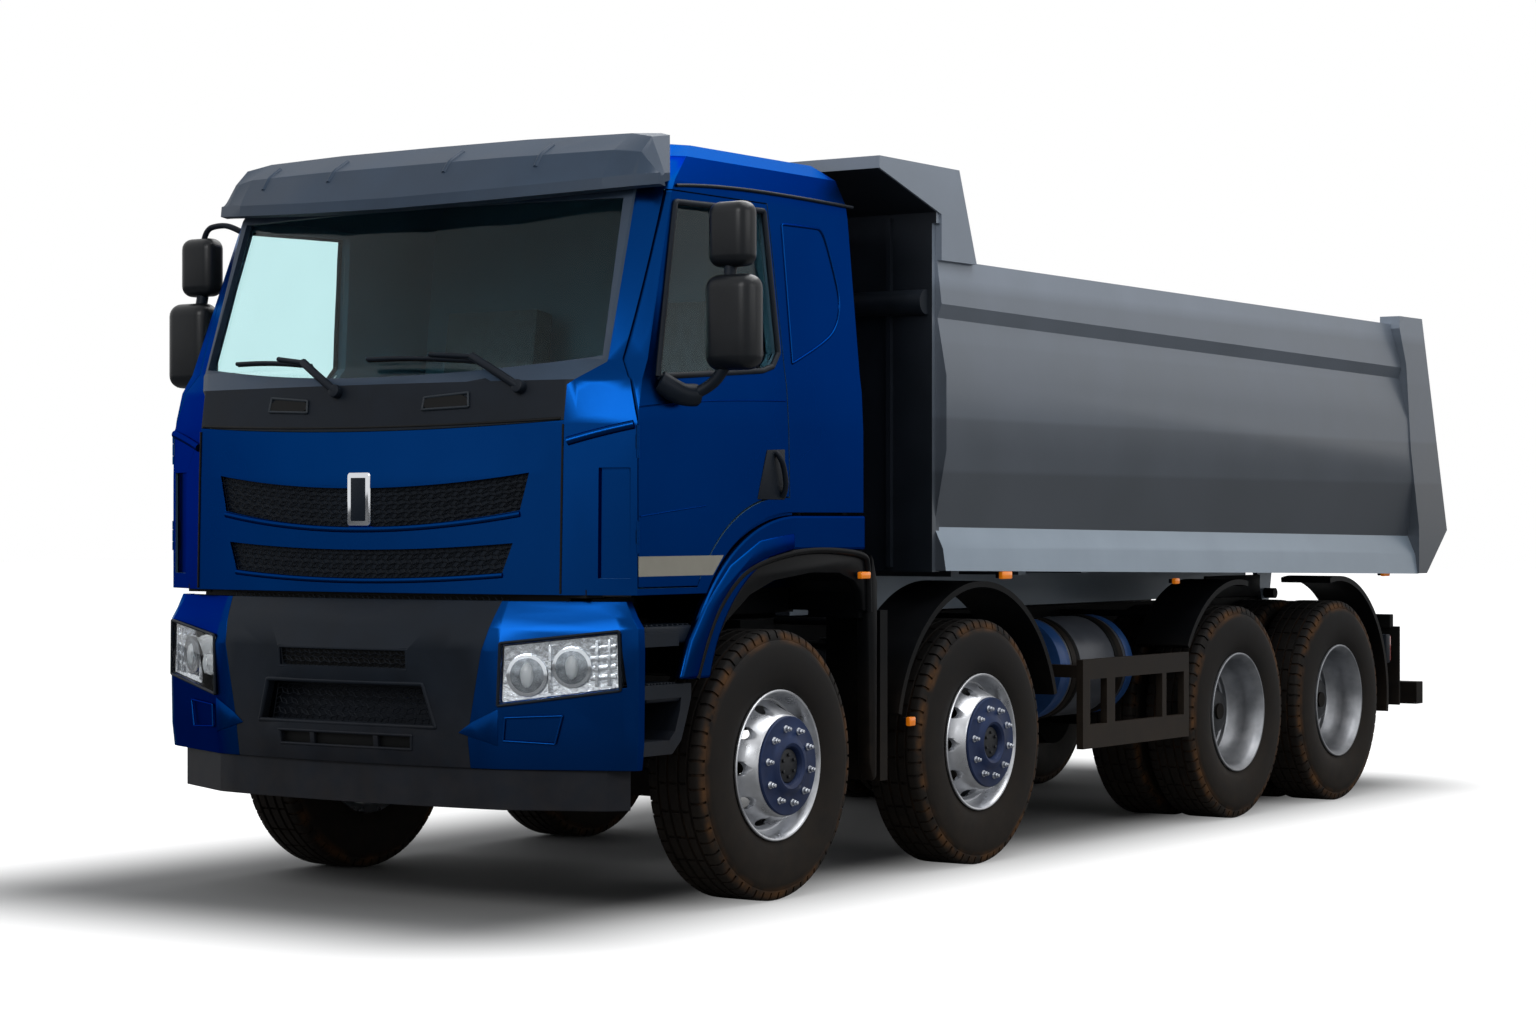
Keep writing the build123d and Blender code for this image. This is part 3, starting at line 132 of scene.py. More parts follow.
def newFinish(name, look):
    material = bpy.data.materials.new(name)
    material.use_nodes = True
    tree = material.node_tree
    shader = tree.nodes["Principled BSDF"]
    place = addNode(tree, "TexCoord", {}).outputs["Object"]
    patches = addNode(tree, "TexNoise", {"Scale": look.get("patch", 3), "Detail": 5, "Vector": place})
    colours = addNode(tree, "ValToRGB", {"Fac": patches.outputs["Fac"]})
    for stop, share, shade in zip(colours.color_ramp.elements, (0.35, 0.65),
                                  (look["colour"], look.get("second", look["colour"]))):
        stop.position = share
        stop.color = tone(*shade)
    colour = colours.outputs["Color"]
    for key, layer in (("dust", addDust), ("bands", addPaintedFacetLight), ("wear", addWear)):
        if key in look:
            colour = layer(tree, place, colour, look[key])
    tree.links.new(colour, shader.inputs["Base Color"])
    smoothest, roughest = look["rough"]
    rough = addNode(tree, "MapRange", {"Value": patches.outputs["Fac"], "To Min": smoothest, "To Max": roughest})
    tree.links.new(rough.outputs["Result"], shader.inputs["Roughness"])
    if "grain" in look:
        grain = addNode(tree, "TexNoise", {"Scale": look["grain"], "Detail": 3, "Vector": place})
        bump = addNode(tree, "Bump", {"Strength": look.get("grainStrength", 0.3),
                                      "Distance": look.get("grainDepth", 0.0006), "Height": grain.outputs["Fac"]})
        tree.links.new(bump.outputs["Normal"], shader.inputs["Normal"])
    shades = {"Metallic": look.get("metal", 0), "Coat Weight": look.get("coat", 0),
              "Coat Roughness": look.get("coatRough", 0.05), "Transmission Weight": look.get("clear", 0),
              "IOR": look.get("ior", 1.45), "Specular IOR Level": look.get("spec", 0.5),
              "Specular Tint": tone(*look.get("tint", (255, 255, 255))), "Emission Strength": look.get("glow", 0)}
    if "glow" in look:
        shades["Emission Color"] = tone(*look["colour"])
    for key, value in shades.items():
        shader.inputs[key].default_value = value
    return material


roadDust = {"colour": (96, 80, 62), "top": 1.0, "low": 0.1, "amount": 0.22}
looks = {
    "bluePaint": {"colour": (2, 42, 94), "second": (4, 48, 104), "patch": 0.8, "rough": (0.25, 0.31), "metal": 1.0,
                  "tint": (120, 170, 220), "grain": 900, "grainStrength": 0.04},
    "bodyGrey": {"colour": (92, 100, 110), "second": (98, 106, 117), "patch": 2.2, "rough": (0.38, 0.5),
                 # bands: painted light and shade, the grey multiplied from about half at the bottom to about one and
                 # a half at the top
                 "bands": ((1.50, 0.50), (1.78, 0.52), (1.80, 0.72), (2.02, 0.75), (2.04, 0.98), (2.36, 1.0),
                           (2.38, 1.06), (2.60, 1.1), (2.66, 1.55), (3.2, 1.6)),
                 "metal": 0.25, "coat": 0.25, "coatRough": 0.2, "grain": 260, "grainStrength": 0.08},
    "sillGrey": {"colour": (124, 138, 152), "second": (132, 146, 160), "patch": 2.5, "rough": (0.36, 0.48),
                 "metal": 0.3, "coat": 0.25, "coatRough": 0.2, "grain": 260, "grainStrength": 0.08},
    "visorGrey": {"colour": (43, 57, 74), "second": (48, 63, 81), "patch": 4, "rough": (0.42, 0.55), "spec": 0.25,
                  "grain": 700, "grainStrength": 0.25},
    "blackPlastic": {"colour": (16, 22, 30), "second": (20, 27, 36), "patch": 6, "rough": (0.42, 0.55),
                     "spec": 0.14, "grain": 800, "grainStrength": 0.3, "dust": roadDust},
    "mirrorPlastic": {"colour": (15, 18, 22), "second": (20, 23, 27), "patch": 8, "rough": (0.26, 0.36),
                      "spec": 0.25, "grain": 900, "grainStrength": 0.2},
    "chassisBlack": {"colour": (9, 10, 11), "second": (15, 16, 17), "patch": 9, "rough": (0.5, 0.7), "spec": 0.1,
                     "grain": 90, "grainStrength": 0.3, "dust": roadDust},
    "guardBrown": {"colour": (24, 20, 17), "second": (31, 26, 22), "patch": 9, "rough": (0.45, 0.6), "spec": 0.14,
                   "grain": 120, "grainStrength": 0.3, "dust": roadDust},
    # near-black for dark seams, and for flat sheets and blocks behind openings and gaps that stand in for the shade
    # there: painted shade
    "seamAndShadeBlack": {"colour": (5, 6, 7), "second": (9, 10, 11), "rough": (0.45, 0.6), "spec": 0.15},
    "wireBlack": {"colour": (26, 29, 34), "second": (34, 37, 42), "rough": (0.35, 0.5), "spec": 0.12},
    "cowlBlack": {"colour": (26, 33, 40), "second": (30, 38, 46), "patch": 6, "rough": (0.4, 0.5), "spec": 0.25},
    # the tank's blue and grey are set light so that it still reads in the shade under the body: painted light on top
    # of its own colours, with road dust on the grey
    "tankBlueLit": {"colour": (34, 72, 126), "second": (40, 80, 138), "patch": 6, "rough": (0.35, 0.5)},
    "tankGreyLit": {"colour": (74, 78, 86), "second": (86, 90, 98), "patch": 9, "rough": (0.3, 0.45), "metal": 0.1,
                 "dust": dict(roadDust, amount=0.3)},
    "lampRed": {"colour": (150, 12, 10), "second": (170, 18, 14), "rough": (0.12, 0.2), "coat": 0.5},
    "plateWhite": {"colour": (205, 206, 204), "second": (212, 213, 211), "rough": (0.4, 0.5)},
    "chromeTrim": {"colour": (205, 208, 212), "second": (215, 218, 222), "rough": (0.08, 0.14), "metal": 1},
    "lampChrome": {"colour": (200, 204, 210), "second": (232, 236, 240), "patch": 60, "rough": (0.12, 0.3),
                   "metal": 0.9, "grain": 70, "grainStrength": 0.6, "grainDepth": 0.004},
    "lampDeep": {"colour": (128, 134, 140), "second": (156, 162, 168), "patch": 40, "rough": (0.15, 0.3),
                 "metal": 0.8},
    "lampLens": {"colour": (215, 222, 226), "second": (226, 232, 236), "rough": (0.03, 0.06), "clear": 0.35},
    "clearCover": {"colour": (250, 252, 253), "second": (252, 253, 254), "rough": (0.01, 0.02), "clear": 1,
                   "ior": 1.2},
    "mirrorGlass": {"colour": (190, 198, 204), "second": (196, 204, 210), "rough": (0.03, 0.05), "metal": 1},
    "stripeBeige": {"colour": (132, 129, 118), "second": (138, 135, 124), "patch": 12, "rough": (0.4, 0.5)},
    "amber": {"colour": (226, 120, 14), "second": (236, 132, 22), "rough": (0.15, 0.25), "coat": 0.4, "glow": 0.25},
    "guardPlastic": {"colour": (8, 9, 11), "second": (12, 13, 15), "spec": 0.07, "patch": 5, "rough": (0.28, 0.42),
                     "grain": 500, "grainStrength": 0.15, "dust": dict(roadDust, amount=0.3)},
    # dark colour for the body's underside and headboard front: painted shade
    "bodyShadeDark": {"colour": (15, 21, 28), "second": (20, 26, 34), "patch": 5, "rough": (0.5, 0.65), "spec": 0.25},
    "tyreRubber": {"colour": (15, 14, 14), "second": (22, 20, 19), "patch": 12, "rough": (0.6, 0.8), "spec": 0.16,
                   "grain": 160, "grainStrength": 0.35, "dust": dict(roadDust, amount=0.16), "wear": (98, 66, 36)},
    "rimSilver": {"colour": (176, 178, 182), "second": (196, 198, 202), "patch": 14, "rough": (0.22, 0.36),
                  "metal": 0.85, "grain": 400, "grainStrength": 0.08},
    "hubBlue": {"colour": (8, 32, 68), "second": (14, 40, 80), "spec": 0.3, "patch": 11, "rough": (0.4, 0.6),
                "metal": 0.2, "grain": 220, "grainStrength": 0.2, "dust": dict(roadDust, amount=0.25)},
    "hubGrease": {"colour": (20, 22, 26), "second": (30, 32, 36), "patch": 16, "rough": (0.4, 0.62), "metal": 0.3,
                  "grain": 220, "grainStrength": 0.3},
    # the rear rims' grey is the rim silver made darker, standing in for the shade they sit in (painted shade), with
    # road dust on it
    "rimShadedGrey": {"colour": (128, 131, 136), "second": (150, 153, 158), "patch": 14, "rough": (0.34, 0.5),
                "metal": 0.75, "dust": dict(roadDust, amount=0.3)},
    "nutSteel": {"colour": (170, 174, 182), "second": (200, 204, 210), "patch": 30, "rough": (0.3, 0.45),
                 "metal": 0.9},
    "darkGlass": {"colour": (222, 244, 245), "second": (224, 246, 247), "rough": (0.0, 0.01), "clear": 1,
                  "ior": 1.18},
    "lampGlass": {"colour": (225, 228, 232), "second": (240, 242, 245), "rough": (0.03, 0.06), "clear": 0.5},
    "cabLining": {"colour": (66, 94, 110), "second": (72, 101, 117), "patch": 3, "rough": (0.75, 0.9), "spec": 0.2},
    "cabTrim": {"colour": (56, 70, 78), "second": (62, 77, 85), "patch": 9, "rough": (0.6, 0.75), "grain": 500},
    "seatCloth": {"colour": (44, 56, 64), "second": (54, 67, 75), "patch": 30, "rough": (0.8, 0.95), "grain": 600,
                  "grainStrength": 0.6},
}
finishes = {name: newFinish(name, look) for name, look in looks.items()}
nodeFinish = {
    "bluePaint": ("cab_shell", "front_panel", "door_left", "door_right", "bumper", "front_arches"),
    "bodyGrey": ("dump_body", "tailgate"),
    "visorGrey": ("roof_visor", "cowl"),
    "blackPlastic": ("bumper_center", "steps", "mudguards", "grille"),
    "mirrorPlastic": ("mirror_left", "mirror_right"),
    "chassisBlack": ("frame", "engine", "steer_axles", "drive_axles", "rear_bumper", "hoist_tube",
                     "knuckle_front_left", "knuckle_front_right", "knuckle_second_left", "knuckle_second_right"),
    "rimSilver": ("hoist_stage_1", "hoist_stage_2", "hoist_rod", "rim_front_left", "rim_front_right",
                  "rim_second_left", "rim_second_right", "rim_third_left", "rim_third_right", "rim_fourth_left",
                  "rim_fourth_right"),
    "tyreRubber": tuple("tyre_%s_%s" % (place, side) for place in places for side, turn in sides),
    "guardBrown": ("side_guards", "tanks"),
    "darkGlass": ("windshield", "door_glass_left", "door_glass_right"),
    "lampGlass": ("headlamps",),
    "cabTrim": ("dashboard",),
    "seatCloth": ("seats",),
}
for finishName, nodeNames in nodeFinish.items():
    for nodeName in nodeNames:
        for slot in nodes[nodeName].material_slots:
            slot.material = finishes[finishName]
print("finishes made:", len(finishes))

# ---- making pieces by hand ----


def clearSelection():
    if bpy.context.object and bpy.context.object.mode != "OBJECT":
        bpy.ops.object.mode_set(mode="OBJECT")
    bpy.ops.object.select_all(action="DESELECT")


def makeActive(*pieces):
    clearSelection()
    for piece in pieces:
        piece.select_set(True)
    bpy.context.view_layer.objects.active = pieces[0]


def joinPieces(name, pieces):
    makeActive(*pieces)
    if len(pieces) > 1:
        bpy.ops.object.join()
    pieces[0].name = name
    return pieces[0]


def copyPiece(piece, name, shift=(0, 0, 0), turn=(0, 0, 0), flip=(1, 1, 1)):
    makeActive(piece)
    bpy.ops.object.duplicate(linked=False)
    twin = bpy.context.object
    twin.name = name
    twin.location = shift
    twin.rotation_euler = turn
    twin.scale = flip
    bpy.ops.object.transform_apply(location=True, rotation=True, scale=True)
    if flip[0] * flip[1] * flip[2] < 0:
        bpy.ops.object.mode_set(mode="EDIT")
        bpy.ops.mesh.select_all(action="SELECT")
        bpy.ops.mesh.flip_normals()
        bpy.ops.object.mode_set(mode="OBJECT")
    return twin


def useModifier(piece, kind, settings):
    makeActive(piece)
    modifier = piece.modifiers.new(kind.lower(), kind)
    for key, value in settings.items():
        setattr(modifier, key, value)
    bpy.ops.object.modifier_apply(modifier=modifier.name)
    return piece


def smoothEdges(piece, angle=35):
    makeActive(piece)
    bpy.ops.object.shade_smooth_by_angle(angle=math.radians(angle))
    return piece


def closedLine(name, points, fill="NOTHING"):
    clearSelection()
    bpy.ops.mesh.primitive_circle_add(vertices=len(points), radius=1, fill_type=fill, location=(0, 0, 0))
    loop = bpy.context.object
    loop.name = name
    for vertex, point in zip(loop.data.vertices, points):
        vertex.co = point
    return loop


def pushFace(face, push, finish):
    # gives a flat face its thickness
    bpy.ops.object.mode_set(mode="EDIT")
    bpy.ops.mesh.select_all(action="SELECT")
    bpy.ops.mesh.extrude_region_move(TRANSFORM_OT_translate={"value": push})
    bpy.ops.mesh.select_all(action="SELECT")
    bpy.ops.mesh.normals_make_consistent(inside=False)
    bpy.ops.object.mode_set(mode="OBJECT")
    face.data.materials.append(finishes[finish])


def bevelEdges(piece, width, segments, limit):
    return useModifier(piece, "BEVEL", {"width": width, "segments": segments, "limit_method": "ANGLE",
                                        "angle_limit": math.radians(limit)})


def spinOutline(name, outline, steps, finish):
    # closed outline of (distance along the axle, radius), spun round the Y axis
    ring = closedLine(name, [(0, along, radius) for along, radius in outline])
    bpy.ops.object.mode_set(mode="EDIT")
    bpy.ops.mesh.select_all(action="SELECT")
    bpy.ops.mesh.spin(steps=steps, angle=2 * math.pi, center=(0, 0, 0), axis=(0, 1, 0))
    bpy.ops.mesh.select_all(action="SELECT")
    bpy.ops.mesh.remove_doubles(threshold=0.0001)
    bpy.ops.mesh.normals_make_consistent(inside=False)
    bpy.ops.object.mode_set(mode="OBJECT")
    ring.data.materials.append(finishes[finish])
    return ring


def shapePlate(name, outline, axis, low, high, finish, bevel=0.0, segments=2):
    # flat outline pushed from low to high along x, y or z; the outline lists the other two in order
    spot = {"x": lambda a, b: (low, a, b), "y": lambda a, b: (a, low, b), "z": lambda a, b: (a, b, low)}[axis]
    plate = closedLine(name, [spot(a, b) for a, b in outline], "NGON")
    pushFace(plate, tuple(high - low if axis == way else 0 for way in "xyz"), finish)
    if bevel:
        bevelEdges(plate, bevel, segments, 30)
        smoothEdges(plate, 40)
    return plate


def shapeBlock(name, low, high, finish, bevel=0.0, segments=2):
    outline = ((low[0], low[1]), (high[0], low[1]), (high[0], high[1]), (low[0], high[1]))
    return shapePlate(name, outline, "z", low[2], high[2], finish, bevel, segments)


def shapeRod(name, start, end, radius, finish, sides=20, bevel=0.0):
    clearSelection()
    start, end = Vector(start), Vector(end)
    along = end - start
    bpy.ops.mesh.primitive_cylinder_add(vertices=sides, radius=radius, depth=along.length,
                                        location=(start + end) / 2,
                                        rotation=along.to_track_quat("Z", "Y").to_euler())
    rod = bpy.context.object
    rod.name = name
    bpy.ops.object.transform_apply(location=True, rotation=True, scale=True)
    rod.data.materials.append(finishes[finish])
    if bevel:
        useModifier(rod, "BEVEL", {"width": bevel, "segments": 2, "limit_method": "ANGLE"})
    return smoothEdges(rod, 40)


# ---- tyres ----

tyre = {"steps": 300, "stepsPerLug": 5, "grooveDepth": 0.009,
        "outline": ((0.112, 0.289), (0.120, 0.300), (0.124, 0.312), (0.137, 0.335), (0.146, 0.370), (0.150, 0.410),
                    (0.1495, 0.450), (0.145, 0.485), (0.138, 0.512), (0.133, 0.517), (0.134, 0.524), (0.130, 0.535),
                    (0.127, 0.546), (0.120, 0.555), (0.111, 0.559), (0.080, 0.560), (0.078, 0.549), (0.068, 0.549),
                    (0.066, 0.560), (0.034, 0.560), (0.032, 0.549), (0.022, 0.549), (0.020, 0.560))}
tyreLoop = tyre["outline"] + tuple((-across, radius) for across, radius in reversed(tyre["outline"]))
masterTyre = spinOutline("masterTyre", tyreLoop, tyre["steps"], "tyreRubber")
makeActive(masterTyre)
bpy.ops.object.mode_set(mode="EDIT")
bpy.ops.mesh.select_all(action="DESELECT")
shape = bmesh.from_edit_mesh(masterTyre.data)
for face in shape.faces:
    spot = face.calc_center_median()
    radius = math.hypot(spot.x, spot.z)
    stepNumber = int(math.atan2(spot.x, spot.z) / (2 * math.pi) * tyre["steps"] + tyre["steps"])
    onShoulder = abs(spot.y) > 0.082 and radius > 0.526
    onRib = abs(spot.y) < 0.07 and radius > 0.555
    if onShoulder and stepNumber % tyre["stepsPerLug"] == 0:
        face.select_set(True)
    elif onRib and (stepNumber + 2) % (tyre["stepsPerLug"] * 2) == 0:
        face.select_set(True)
bmesh.update_edit_mesh(masterTyre.data)
bpy.ops.mesh.extrude_region_shrink_fatten(TRANSFORM_OT_shrink_fatten={"value": -tyre["grooveDepth"]})
bpy.ops.object.mode_set(mode="OBJECT")
smoothEdges(masterTyre, 32)
radii = masterTyre.data.attributes.new("rubberRadius", "FLOAT", "POINT")
for vertex in masterTyre.data.vertices:
    radii.data[vertex.index].value = math.hypot(vertex.co.x, vertex.co.z)

# ---- rims, hubs and wheel nuts ----

frontRim = {"holes": 10, "holeRadius": 0.242, "nuts": 10, "nutRadius": 0.155,
            "dish": ((0.128, 0.3125), (0.137, 0.3125), (0.1395, 0.308), (0.138, 0.302), (0.130, 0.297),
                     (0.118, 0.290), (0.095, 0.2845), (0.070, 0.281), (0.062, 0.276), (0.063, 0.268),
                     (0.075, 0.259), (0.100, 0.245), (0.135, 0.228), (0.162, 0.215), (0.174, 0.207),
                     (0.174, 0.197), (0.164, 0.197), (0.158, 0.203), (0.130, 0.217), (0.095, 0.235),
                     (0.066, 0.252), (0.052, 0.262), (-0.050, 0.262), (-0.118, 0.275), (-0.136, 0.312),
                     (-0.128, 0.3135), (-0.110, 0.292), (-0.050, 0.272), (0.050, 0.272), (0.100, 0.289),
                     (0.120, 0.296)),
            "hub": ((0.120, 0.205), (0.182, 0.205), (0.186, 0.201), (0.186, 0.132), (0.192, 0.120),
                    (0.200, 0.108), (0.203, 0.094), (0.197, 0.082), (0.180, 0.072), (0.120, 0.070))}
rearRim = {"barrel": ((0.128, 0.3125), (0.137, 0.3125), (0.1395, 0.308), (0.138, 0.302), (0.130, 0.297),
                      (0.118, 0.289), (0.100, 0.281), (0.040, 0.272), (0.000, 0.268), (-0.010, 0.262),
                      (-0.045, 0.252), (-0.052, 0.244), (-0.070, 0.242), (-0.076, 0.232), (-0.095, 0.230),
                      (-0.100, 0.215), (-0.112, 0.213), (-0.112, 0.120), (-0.130, 0.120), (-0.130, 0.262),
                      (-0.136, 0.312), (-0.128, 0.3135), (-0.110, 0.292), (-0.050, 0.280), (0.050, 0.280),
                      (0.100, 0.289), (0.120, 0.296)),
           "hub": ((-0.112, 0.165), (-0.070, 0.160), (-0.020, 0.135), (0.010, 0.110), (0.018, 0.090),
                   (0.018, 0.020), (-0.112, 0.020))}


def makeNut(radius, along, finish):
    clearSelection()
    bpy.ops.mesh.primitive_cylinder_add(vertices=6, radius=0.012, depth=0.020, location=(0, along + 0.010, radius),
                                        rotation=(math.radians(90), 0, 0))
    nut = bpy.context.object
    bpy.ops.object.transform_apply(location=True, rotation=True, scale=True)
    nut.data.materials.append(finishes[finish])
    useModifier(nut, "BEVEL", {"width": 0.003, "segments": 2, "limit_method": "ANGLE"})
    washer = shapeRod("washer", (0, along - 0.001, radius), (0, along + 0.005, radius), 0.0155, finish, 24, 0.002)
    stud = shapeRod("stud", (0, along + 0.018, radius), (0, along + 0.029, radius), 0.0075, finish, 16, 0.002)
    return joinPieces("nut", [nut, washer, stud])


def ringOf(piece, count, firstTurn=0.0):
    copies = [copyPiece(piece, "ringCopy", turn=(0, firstTurn + 2 * math.pi * number / count, 0))
              for number in range(count)]
    bpy.data.objects.remove(piece)
    return joinPieces("ring", copies)


frontDish = spinOutline("frontDish", frontRim["dish"], 96, "rimSilver")
clearSelection()
bpy.ops.mesh.primitive_cylinder_add(vertices=28, radius=1, depth=0.2, location=(0, 0.12, frontRim["holeRadius"]),
                                    rotation=(math.radians(90), 0, 0))
cutter = bpy.context.object
cutter.scale = (0.030, 0.0165, 1)
bpy.ops.object.transform_apply(location=True, rotation=True, scale=True)
cutters = ringOf(cutter, frontRim["holes"], math.radians(18))
useModifier(frontDish, "BOOLEAN", {"object": cutters, "operation": "DIFFERENCE", "solver": "EXACT"})
bpy.data.objects.remove(cutters)
bevelEdges(frontDish, 0.0015, 1, 50)
smoothEdges(frontDish, 35)
frontHub = smoothEdges(spinOutline("frontHub", frontRim["hub"], 72, "hubBlue"), 30)
frontCap = shapeRod("frontCap", (0, 0.120, 0), (0, 0.182, 0), 0.0705, "hubGrease", 48, 0.006)
capBolt = shapeRod("capBolt", (0, 0.180, 0.045), (0, 0.190, 0.045), 0.008, "hubGrease", 6, 0.002)
frontNuts = ringOf(makeNut(frontRim["nutRadius"], 0.186, "nutSteel"), frontRim["nuts"], math.radians(9))
masterFront = joinPieces("masterFront", [frontDish, frontHub, frontCap, ringOf(capBolt, 6), frontNuts])
masterRear = spinOutline("masterRear", rearRim["barrel"], 96, "rimShadedGrey")
smoothEdges(masterRear, 35)
rearHub = smoothEdges(spinOutline("rearHub", rearRim["hub"], 48, "hubGrease"), 30)
rearNuts = ringOf(makeNut(0.140, -0.112, "hubGrease"), 10)
masterRear = joinPieces("masterRear", [masterRear, rearHub, rearNuts])
innerRear = spinOutline("innerRear", tuple((-along, radius) for along, radius in rearRim["barrel"]), 96,
                        "rimSilver")

for place in places:
    for side, sign in sides:
        body = "wheel_%s_%s" % (place, side)
        low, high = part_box("tyre_%s_%s" % (place, side))
        outerFace = high.y if sign > 0 else low.y
        outerMiddle = outerFace - sign * tyreWidth / 2
        middles = [outerMiddle]
        if place in ("third", "fourth"):
            innerFace = low.y if sign > 0 else high.y
            middles.append(innerFace + sign * tyreWidth / 2)
        centres = [(axleX[place], across, wheelZ) for across in middles]
        tyres = [copyPiece(masterTyre, "tyreCopy", shift=centre, flip=(1, sign, 1)) for centre in centres]
        tyrePiece = joinPieces("tyreTread_%s_%s" % (place, side), tyres)
        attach(tyrePiece, body)
        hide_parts("tyre_%s_%s" % (place, side))
        master = masterRear if len(centres) > 1 else masterFront
        rims = [copyPiece(master, "rimCopy", shift=centres[0], flip=(1, sign, 1))]
        if len(centres) > 1:
            rims.append(copyPiece(innerRear, "rimCopy", shift=centres[1], flip=(1, sign, 1)))
        rimPiece = joinPieces("rimDetail_%s_%s" % (place, side), rims)
        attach(rimPiece, body)
        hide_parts("rim_%s_%s" % (place, side))
for master in (masterTyre, masterFront, masterRear, innerRear):
    bpy.data.objects.remove(master)
print("wheels made")

# ---- CAD nodes copied with rounded edges ----


def copyNode(node, name):
    twin = bpy.data.objects.new(name, nodes[node].data.copy())
    bpy.context.scene.collection.objects.link(twin)
    makeActive(twin)
    bpy.ops.object.mode_set(mode="EDIT")
    bpy.ops.mesh.select_all(action="SELECT")
    bpy.ops.mesh.remove_doubles(threshold=0.0002)
    bpy.ops.mesh.dissolve_limited(angle_limit=math.radians(0.8))
    bpy.ops.mesh.select_all(action="SELECT")
    bpy.ops.mesh.normals_make_consistent(inside=False)
    bpy.ops.object.mode_set(mode="OBJECT")
    return twin


def paintFaces(piece, finish, chosen):
    piece.data.materials.append(finishes[finish])
    number = len(piece.data.materials) - 1
    for face in piece.data.polygons:
        if chosen(face.center, face.normal):
            face.material_index = number


def dressNode(node, body, finishName, width, accents=(), smooth=24):
    skin = copyNode(node, "skin_" + node)
    skin.data.materials.clear()
    skin.data.materials.append(finishes[finishName])
    for accent, chosen in accents:
        paintFaces(skin, accent, chosen)
    useModifier(skin, "BEVEL", {"width": width, "segments": 2, "limit_method": "ANGLE",
                                "angle_limit": math.radians(24), "harden_normals": False})
    smoothEdges(skin, smooth)
    useModifier(skin, "WEIGHTED_NORMAL", {"keep_sharp": True, "weight": 90})
    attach(skin, body)
    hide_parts(node)
    return skin


def isScreenSurround(spot, normal):
    return spot.z > 2.125


def isInsideCab(spot, normal):
    return (Vector((noseX + 0.2, 0, 2.2)) - spot).normalized().dot(normal) > 0.1


# faces looking down under the body, given the dark colour as painted shade
def isShadedUnderside(spot, normal):
    return normal.z < -0.5 and abs(spot.y) < 1.2


# faces on the front of the headboard, facing the cab, given the dark colour as painted shade
def isShadedBoardFront(spot, normal):
    return spot.x > boardFace - 0.02 and normal.x > -0.5 and abs(spot.y) < 1.22 and spot.z < 2.95


def isSill(spot, normal):
    return spot.z < sillTop and abs(normal.y) > 0.4


sillTop = 1.5
boardPlate = max((face for face in nodes["dump_body"].data.polygons
                  if face.normal.x > 0.9 and 1.6 < face.center.z < 2.8 and abs(face.center.y) < 1.1),
                 key=lambda face: face.area)
boardFace = boardPlate.center.x
print("headboard face at", round(boardFace, 3))
dressNode("cab_shell", "cab", "bluePaint", 0.006, (("cabLining", isInsideCab),))
dressNode("front_panel", "cab", "bluePaint", 0.008)
for side, sign in sides:
    dressNode("door_" + side, "door_" + side, "bluePaint", 0.005, (("cabLining", isInsideCab),))
dressNode("bumper", "chassis", "bluePaint", 0.014)
centreSkin = dressNode("bumper_center", "chassis", "blackPlastic", 0.008)
for low, high, half, rear in ((0.985, 1.055, 0.336, 1.262), (0.668, 0.716, 0.345, 1.238)):
    slotCut = shapeBlock("slotCut", (noseX + rear, -half, low), (noseX + 1.34, half, high), "seamAndShadeBlack")
    useModifier(centreSkin, "BOOLEAN", {"object": slotCut, "operation": "DIFFERENCE", "solver": "EXACT"})
    bpy.data.objects.remove(slotCut)
visorSkin = dressNode("roof_visor", "cab", "visorGrey", 0.03, (), 55)
dressNode("cowl", "cab", "blackPlastic", 0.006, (("visorGrey", isScreenSurround),))
dressNode("front_arches", "chassis", "bluePaint", 0.012)
dressNode("mudguards", "chassis", "guardPlastic", 0.006)
dressNode("steps", "chassis", "blackPlastic", 0.006)
dressNode("side_guards", "chassis", "guardBrown", 0.005)
# the underside and the headboard front get the dark colour as painted shade
dressNode("dump_body", "dump_body", "bodyGrey", 0.008,
          (("sillGrey", isSill), ("bodyShadeDark", isShadedUnderside), ("bodyShadeDark", isShadedBoardFront)))
dressNode("tailgate", "tailgate", "bodyGrey", 0.008)
dressNode("rear_bumper", "chassis", "chassisBlack", 0.004)
print("rounded copies made")

# ---- curved front of the cab and bumper ----

# height, nose x, corner x, corner y, with x from the first axle
cabFront = ((1.150, 1.190, 1.100, 0.985), (1.280, 1.190, 1.100, 0.985), (1.750, 1.180, 1.090, 0.985),
            (1.950, 1.165, 1.085, 0.975), (2.120, 1.135, 1.065, 0.965), (2.200, 1.085, 0.960, 1.060),
            (2.870, 0.880, 0.745, 1.060))
bumperFront = ((0.500, 1.262, 1.200, 0.757), (0.600, 1.262, 1.200, 0.757), (0.700, 1.278, 1.215, 0.757),
               (1.060, 1.300, 1.222, 0.757), (1.150, 1.262, 1.200, 0.757), (1.195, 1.240, 1.180, 0.757),
               (1.255, 1.182, 1.150, 0.757))


def frontX(rows, across, height):
    lower, upper = rows[0], rows[1]
    for first, second in zip(rows, rows[1:]):
        if height >= first[0]:
            lower, upper = first, second
    share = max(0, min(1, (height - lower[0]) / (upper[0] - lower[0])))
    nose, corner, cornerY = (a + share * (b - a) for a, b in zip(lower[1:], upper[1:]))
    bow = nose - corner
    radius = (cornerY ** 2 + bow ** 2) / (2 * bow)
    return noseX + nose - radius + math.sqrt(radius ** 2 - min(abs(across), cornerY) ** 2)


def curveHeight(edgeHeight, middleHeight, edge, across):
    return middleHeight + (edgeHeight - middleHeight) * (across / edge) ** 2


